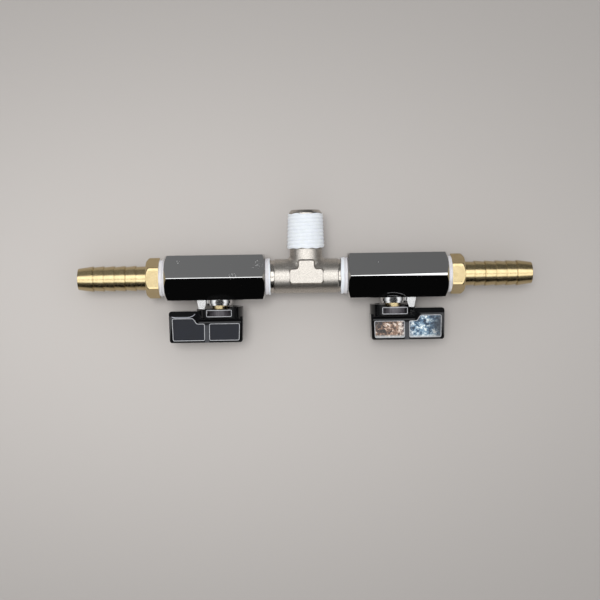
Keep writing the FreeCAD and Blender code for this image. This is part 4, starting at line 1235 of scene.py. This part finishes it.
# Painted shade: the board's colour darkens away from the painted pool of light
tinted = add_node(
    tree,
    "ShaderNodeMix",
    {"Factor": painted_falloff.outputs[0], 6: colour("#c8c2bd"), 7: colour("#a39e9a")},
    data_type="RGBA",
)
shader = add_node(tree, "ShaderNodeBsdfPrincipled", {"Base Color": tinted.outputs[2], "Roughness": 0.9})
add_node(tree, "ShaderNodeOutputMaterial", {"Surface": shader.outputs[0]})
mesh = bpy.data.meshes.new("table_top")
lean = math.tan(REST_LEAN)
square = [(x * FLOOR_HALF, y * FLOOR_HALF) for x, y in ((-1, -1), (1, -1), (1, 1), (-1, 1))]
mesh.from_pydata([(x, y, REST_RIDGE - y * lean) for x, y in square], [], [(0, 1, 2, 3)])
table = bpy.data.objects.new("table_top", mesh)
bpy.context.scene.collection.objects.link(table)
mesh.materials.append(table_painted_falloff)
table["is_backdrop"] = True

# Light: an even pale room for matt surfaces, and for metals the same room as they mirror it: a bright
# long ceiling light, a dim wall behind the branch, a dark one behind the handles, and the dark band of
# the arms that hold the camera. A large soft lamp gives the shadows.
ROOM_LEVEL = 0.66
# Places in the mirrored room are directions: X and Y of an arrow one long that points there
CEILING_LEVEL = 2.5
CEILING_PLACE = (0, math.sin(math.radians(1)), 0)
CEILING_HALF_X = math.sin(math.radians(72))
CEILING_HALF_Y = math.sin(math.radians(33))
CEILING_EDGE = (0.9, 1.08)  # shares of those halves between which it fades out
CEILING_DIMS = (0.5, 0.9)  # X between which it dims, to the next share at its far ends
CEILING_ENDS = 0.4
ARMS_PLACE = (0.01, -0.068, 0)
ARMS_HALF_X = 0.8
ARMS_HALF_Y = 0.047
ARMS_EDGE = (0.8, 1.1)
BRANCH_WALL = 0.23
HANDLE_WALL = 0.004
WALL_TURNS = (-0.35, 0.75)  # Y between which the one wall becomes the other
SIDE_TURNS = (-0.4, 0.4)  # X between which the walls dim from the first of the next shares to the second
SIDE_SHARES = (1.35, 0.65)
FAR_CEILING = 0.12  # where the ceiling goes on past its light, over the dark wall
FAR_BEGINS = (-0.82, -0.75)
FAR_ENDS = -0.45

world = bpy.data.worlds.new("studio_room")
bpy.context.scene.world = world
world.use_nodes = True
world.cycles.sampling_method = "NONE"
tree = world.node_tree
tree.nodes.clear()
towards = add_node(tree, "ShaderNodeTexCoord").outputs["Generated"]


def round_patch(tree, towards, place, half_x, half_y, inner, outer):
    """How much of a direction lies in an oval overhead: 1 within inner of its half widths, 0 past outer."""
    off = add_node(tree, "ShaderNodeVectorMath", {0: towards, 1: place}, operation="SUBTRACT")
    scaled = add_node(
        tree,
        "ShaderNodeVectorMath",
        {0: off.outputs[0], 1: (1 / half_x, 1 / half_y, 0)},
        operation="MULTIPLY",
    )
    reach = add_node(tree, "ShaderNodeVectorMath", {0: scaled.outputs[0]}, operation="LENGTH")
    patch = add_node(
        tree,
        "ShaderNodeMapRange",
        {"Value": reach.outputs["Value"], "From Min": outer, "From Max": inner},
        interpolation_type="SMOOTHSTEP",
    )
    return patch.outputs[0]


ceiling = round_patch(tree, towards, CEILING_PLACE, CEILING_HALF_X, CEILING_HALF_Y, *CEILING_EDGE)
arms = round_patch(tree, towards, ARMS_PLACE, ARMS_HALF_X, ARMS_HALF_Y, *ARMS_EDGE)
parts = add_node(tree, "ShaderNodeSeparateXYZ", {"Vector": towards})
overhead = add_node(tree, "ShaderNodeMath", {0: parts.outputs["Z"], 1: 0.0}, operation="GREATER_THAN")
unshaded = add_node(tree, "ShaderNodeMath", {0: 1.0, 1: arms}, operation="SUBTRACT")
lit = add_node(tree, "ShaderNodeMath", {0: ceiling, 1: unshaded.outputs[0]}, operation="MULTIPLY")
lit = add_node(tree, "ShaderNodeMath", {0: lit.outputs[0], 1: overhead.outputs[0]}, operation="MULTIPLY")
lit = add_node(tree, "ShaderNodeMath", {0: lit.outputs[0], 1: CEILING_LEVEL}, operation="MULTIPLY")
off_middle = add_node(tree, "ShaderNodeMath", {0: parts.outputs["X"]}, operation="ABSOLUTE")
dimmed = add_node(
    tree,
    "ShaderNodeMapRange",
    {
        "Value": off_middle.outputs[0],
        "From Min": CEILING_DIMS[0],
        "From Max": CEILING_DIMS[1],
        "To Min": 1.0,
        "To Max": CEILING_ENDS,
    },
)
lit = add_node(tree, "ShaderNodeMath", {0: lit.outputs[0], 1: dimmed.outputs[0]}, operation="MULTIPLY")
wall = add_node(
    tree,
    "ShaderNodeMapRange",
    {
        "Value": parts.outputs["Y"],
        "From Min": WALL_TURNS[0],
        "From Max": WALL_TURNS[1],
        "To Min": HANDLE_WALL,
        "To Max": BRANCH_WALL,
    },
)
sideways = add_node(
    tree,
    "ShaderNodeMapRange",
    {
        "Value": parts.outputs["X"],
        "From Min": SIDE_TURNS[0],
        "From Max": SIDE_TURNS[1],
        "To Min": SIDE_SHARES[0],
        "To Max": SIDE_SHARES[1],
    },
)
wall = add_node(tree, "ShaderNodeMath", {0: wall.outputs[0], 1: sideways.outputs[0]}, operation="MULTIPLY")
far = add_node(
    tree,
    "ShaderNodeMapRange",
    {
        "Value": parts.outputs["Y"],
        "From Min": FAR_BEGINS[0],
        "From Max": FAR_BEGINS[1],
        "To Max": FAR_CEILING,
    },
)
beyond = add_node(tree, "ShaderNodeMath", {0: parts.outputs["Y"], 1: FAR_ENDS}, operation="LESS_THAN")
far = add_node(tree, "ShaderNodeMath", {0: far.outputs[0], 1: beyond.outputs[0]}, operation="MULTIPLY")
wall = add_node(tree, "ShaderNodeMath", {0: wall.outputs[0], 1: far.outputs[0]}, operation="MAXIMUM")
mirrored = add_node(tree, "ShaderNodeMath", {0: lit.outputs[0], 1: wall.outputs[0]}, operation="ADD")
ray = add_node(tree, "ShaderNodeLightPath")
mirrors = add_node(
    tree,
    "ShaderNodeMath",
    {0: ray.outputs["Is Glossy Ray"], 1: ray.outputs["Is Transmission Ray"]},
    operation="MAXIMUM",
)
level = add_node(
    tree,
    "ShaderNodeMix",
    {"Factor": mirrors.outputs[0], 2: ROOM_LEVEL, 3: mirrored.outputs[0]},
    data_type="FLOAT",
)
background = add_node(
    tree,
    "ShaderNodeBackground",
    {"Color": colour("#fbfdff"), "Strength": level.outputs[0]},
)
add_node(tree, "ShaderNodeOutputWorld", {"Surface": background.outputs[0]})

LAMP_SIZE = 0.95  # metres across, which sets how soft the shadows are
LAMP_POWER = 19
LAMP_PLACE = (-0.25, 0.3, 2.0)
lamp_data = bpy.data.lights.new("overhead_softbox", "AREA")
lamp_data.shape = "DISK"
lamp_data.size = LAMP_SIZE
lamp_data.energy = LAMP_POWER
lamp_data.color = (0.98, 0.99, 1.0)
lamp = bpy.data.objects.new("overhead_softbox", lamp_data)
bpy.context.scene.collection.objects.link(lamp)
lamp.location = LAMP_PLACE
lamp.rotation_euler = (-lamp.location).to_track_quat("-Z", "Y").to_euler()
lamp.visible_glossy = False

# Camera: held by hand about half a metre over the table and looking nearly straight down. Its place and
# its turns come from the lines of the part in the photograph.
CAMERA_PLACE = Vector((-8.7, 8, 440)) * MM
CAMERA_PIXELS = 1092  # focal length, in pixels of the picture
PICTURE = 600  # pixels wide
CAMERA_ROLL = 0.91  # degrees, as the next two are: about the line of sight
CAMERA_SWING = 0.79  # about the picture's upright
CAMERA_TILT = 2.3  # about its level line
rotation = (
    Matrix.Rotation(math.radians(CAMERA_ROLL), 3, "Z")
    @ Matrix.Rotation(math.radians(CAMERA_SWING), 3, "Y")
    @ Matrix.Rotation(math.radians(CAMERA_TILT), 3, "X")
)
camera_data = bpy.data.cameras.new("camera")
camera_data.lens = camera_data.sensor_width * CAMERA_PIXELS / PICTURE
camera_data.clip_start = 0.01
camera = bpy.data.objects.new("camera", camera_data)
bpy.context.scene.collection.objects.link(camera)
camera.matrix_world = Matrix.Translation(CAMERA_PLACE) @ rotation.transposed().to_4x4()
bpy.context.scene.camera = camera
bpy.context.scene.view_settings.view_transform = "Standard"

bpy.context.view_layer.update()
boxes = {"cad": cad_box, "visual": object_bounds()}
{key: [list(corner) for corner in box] for key, box in boxes.items()}
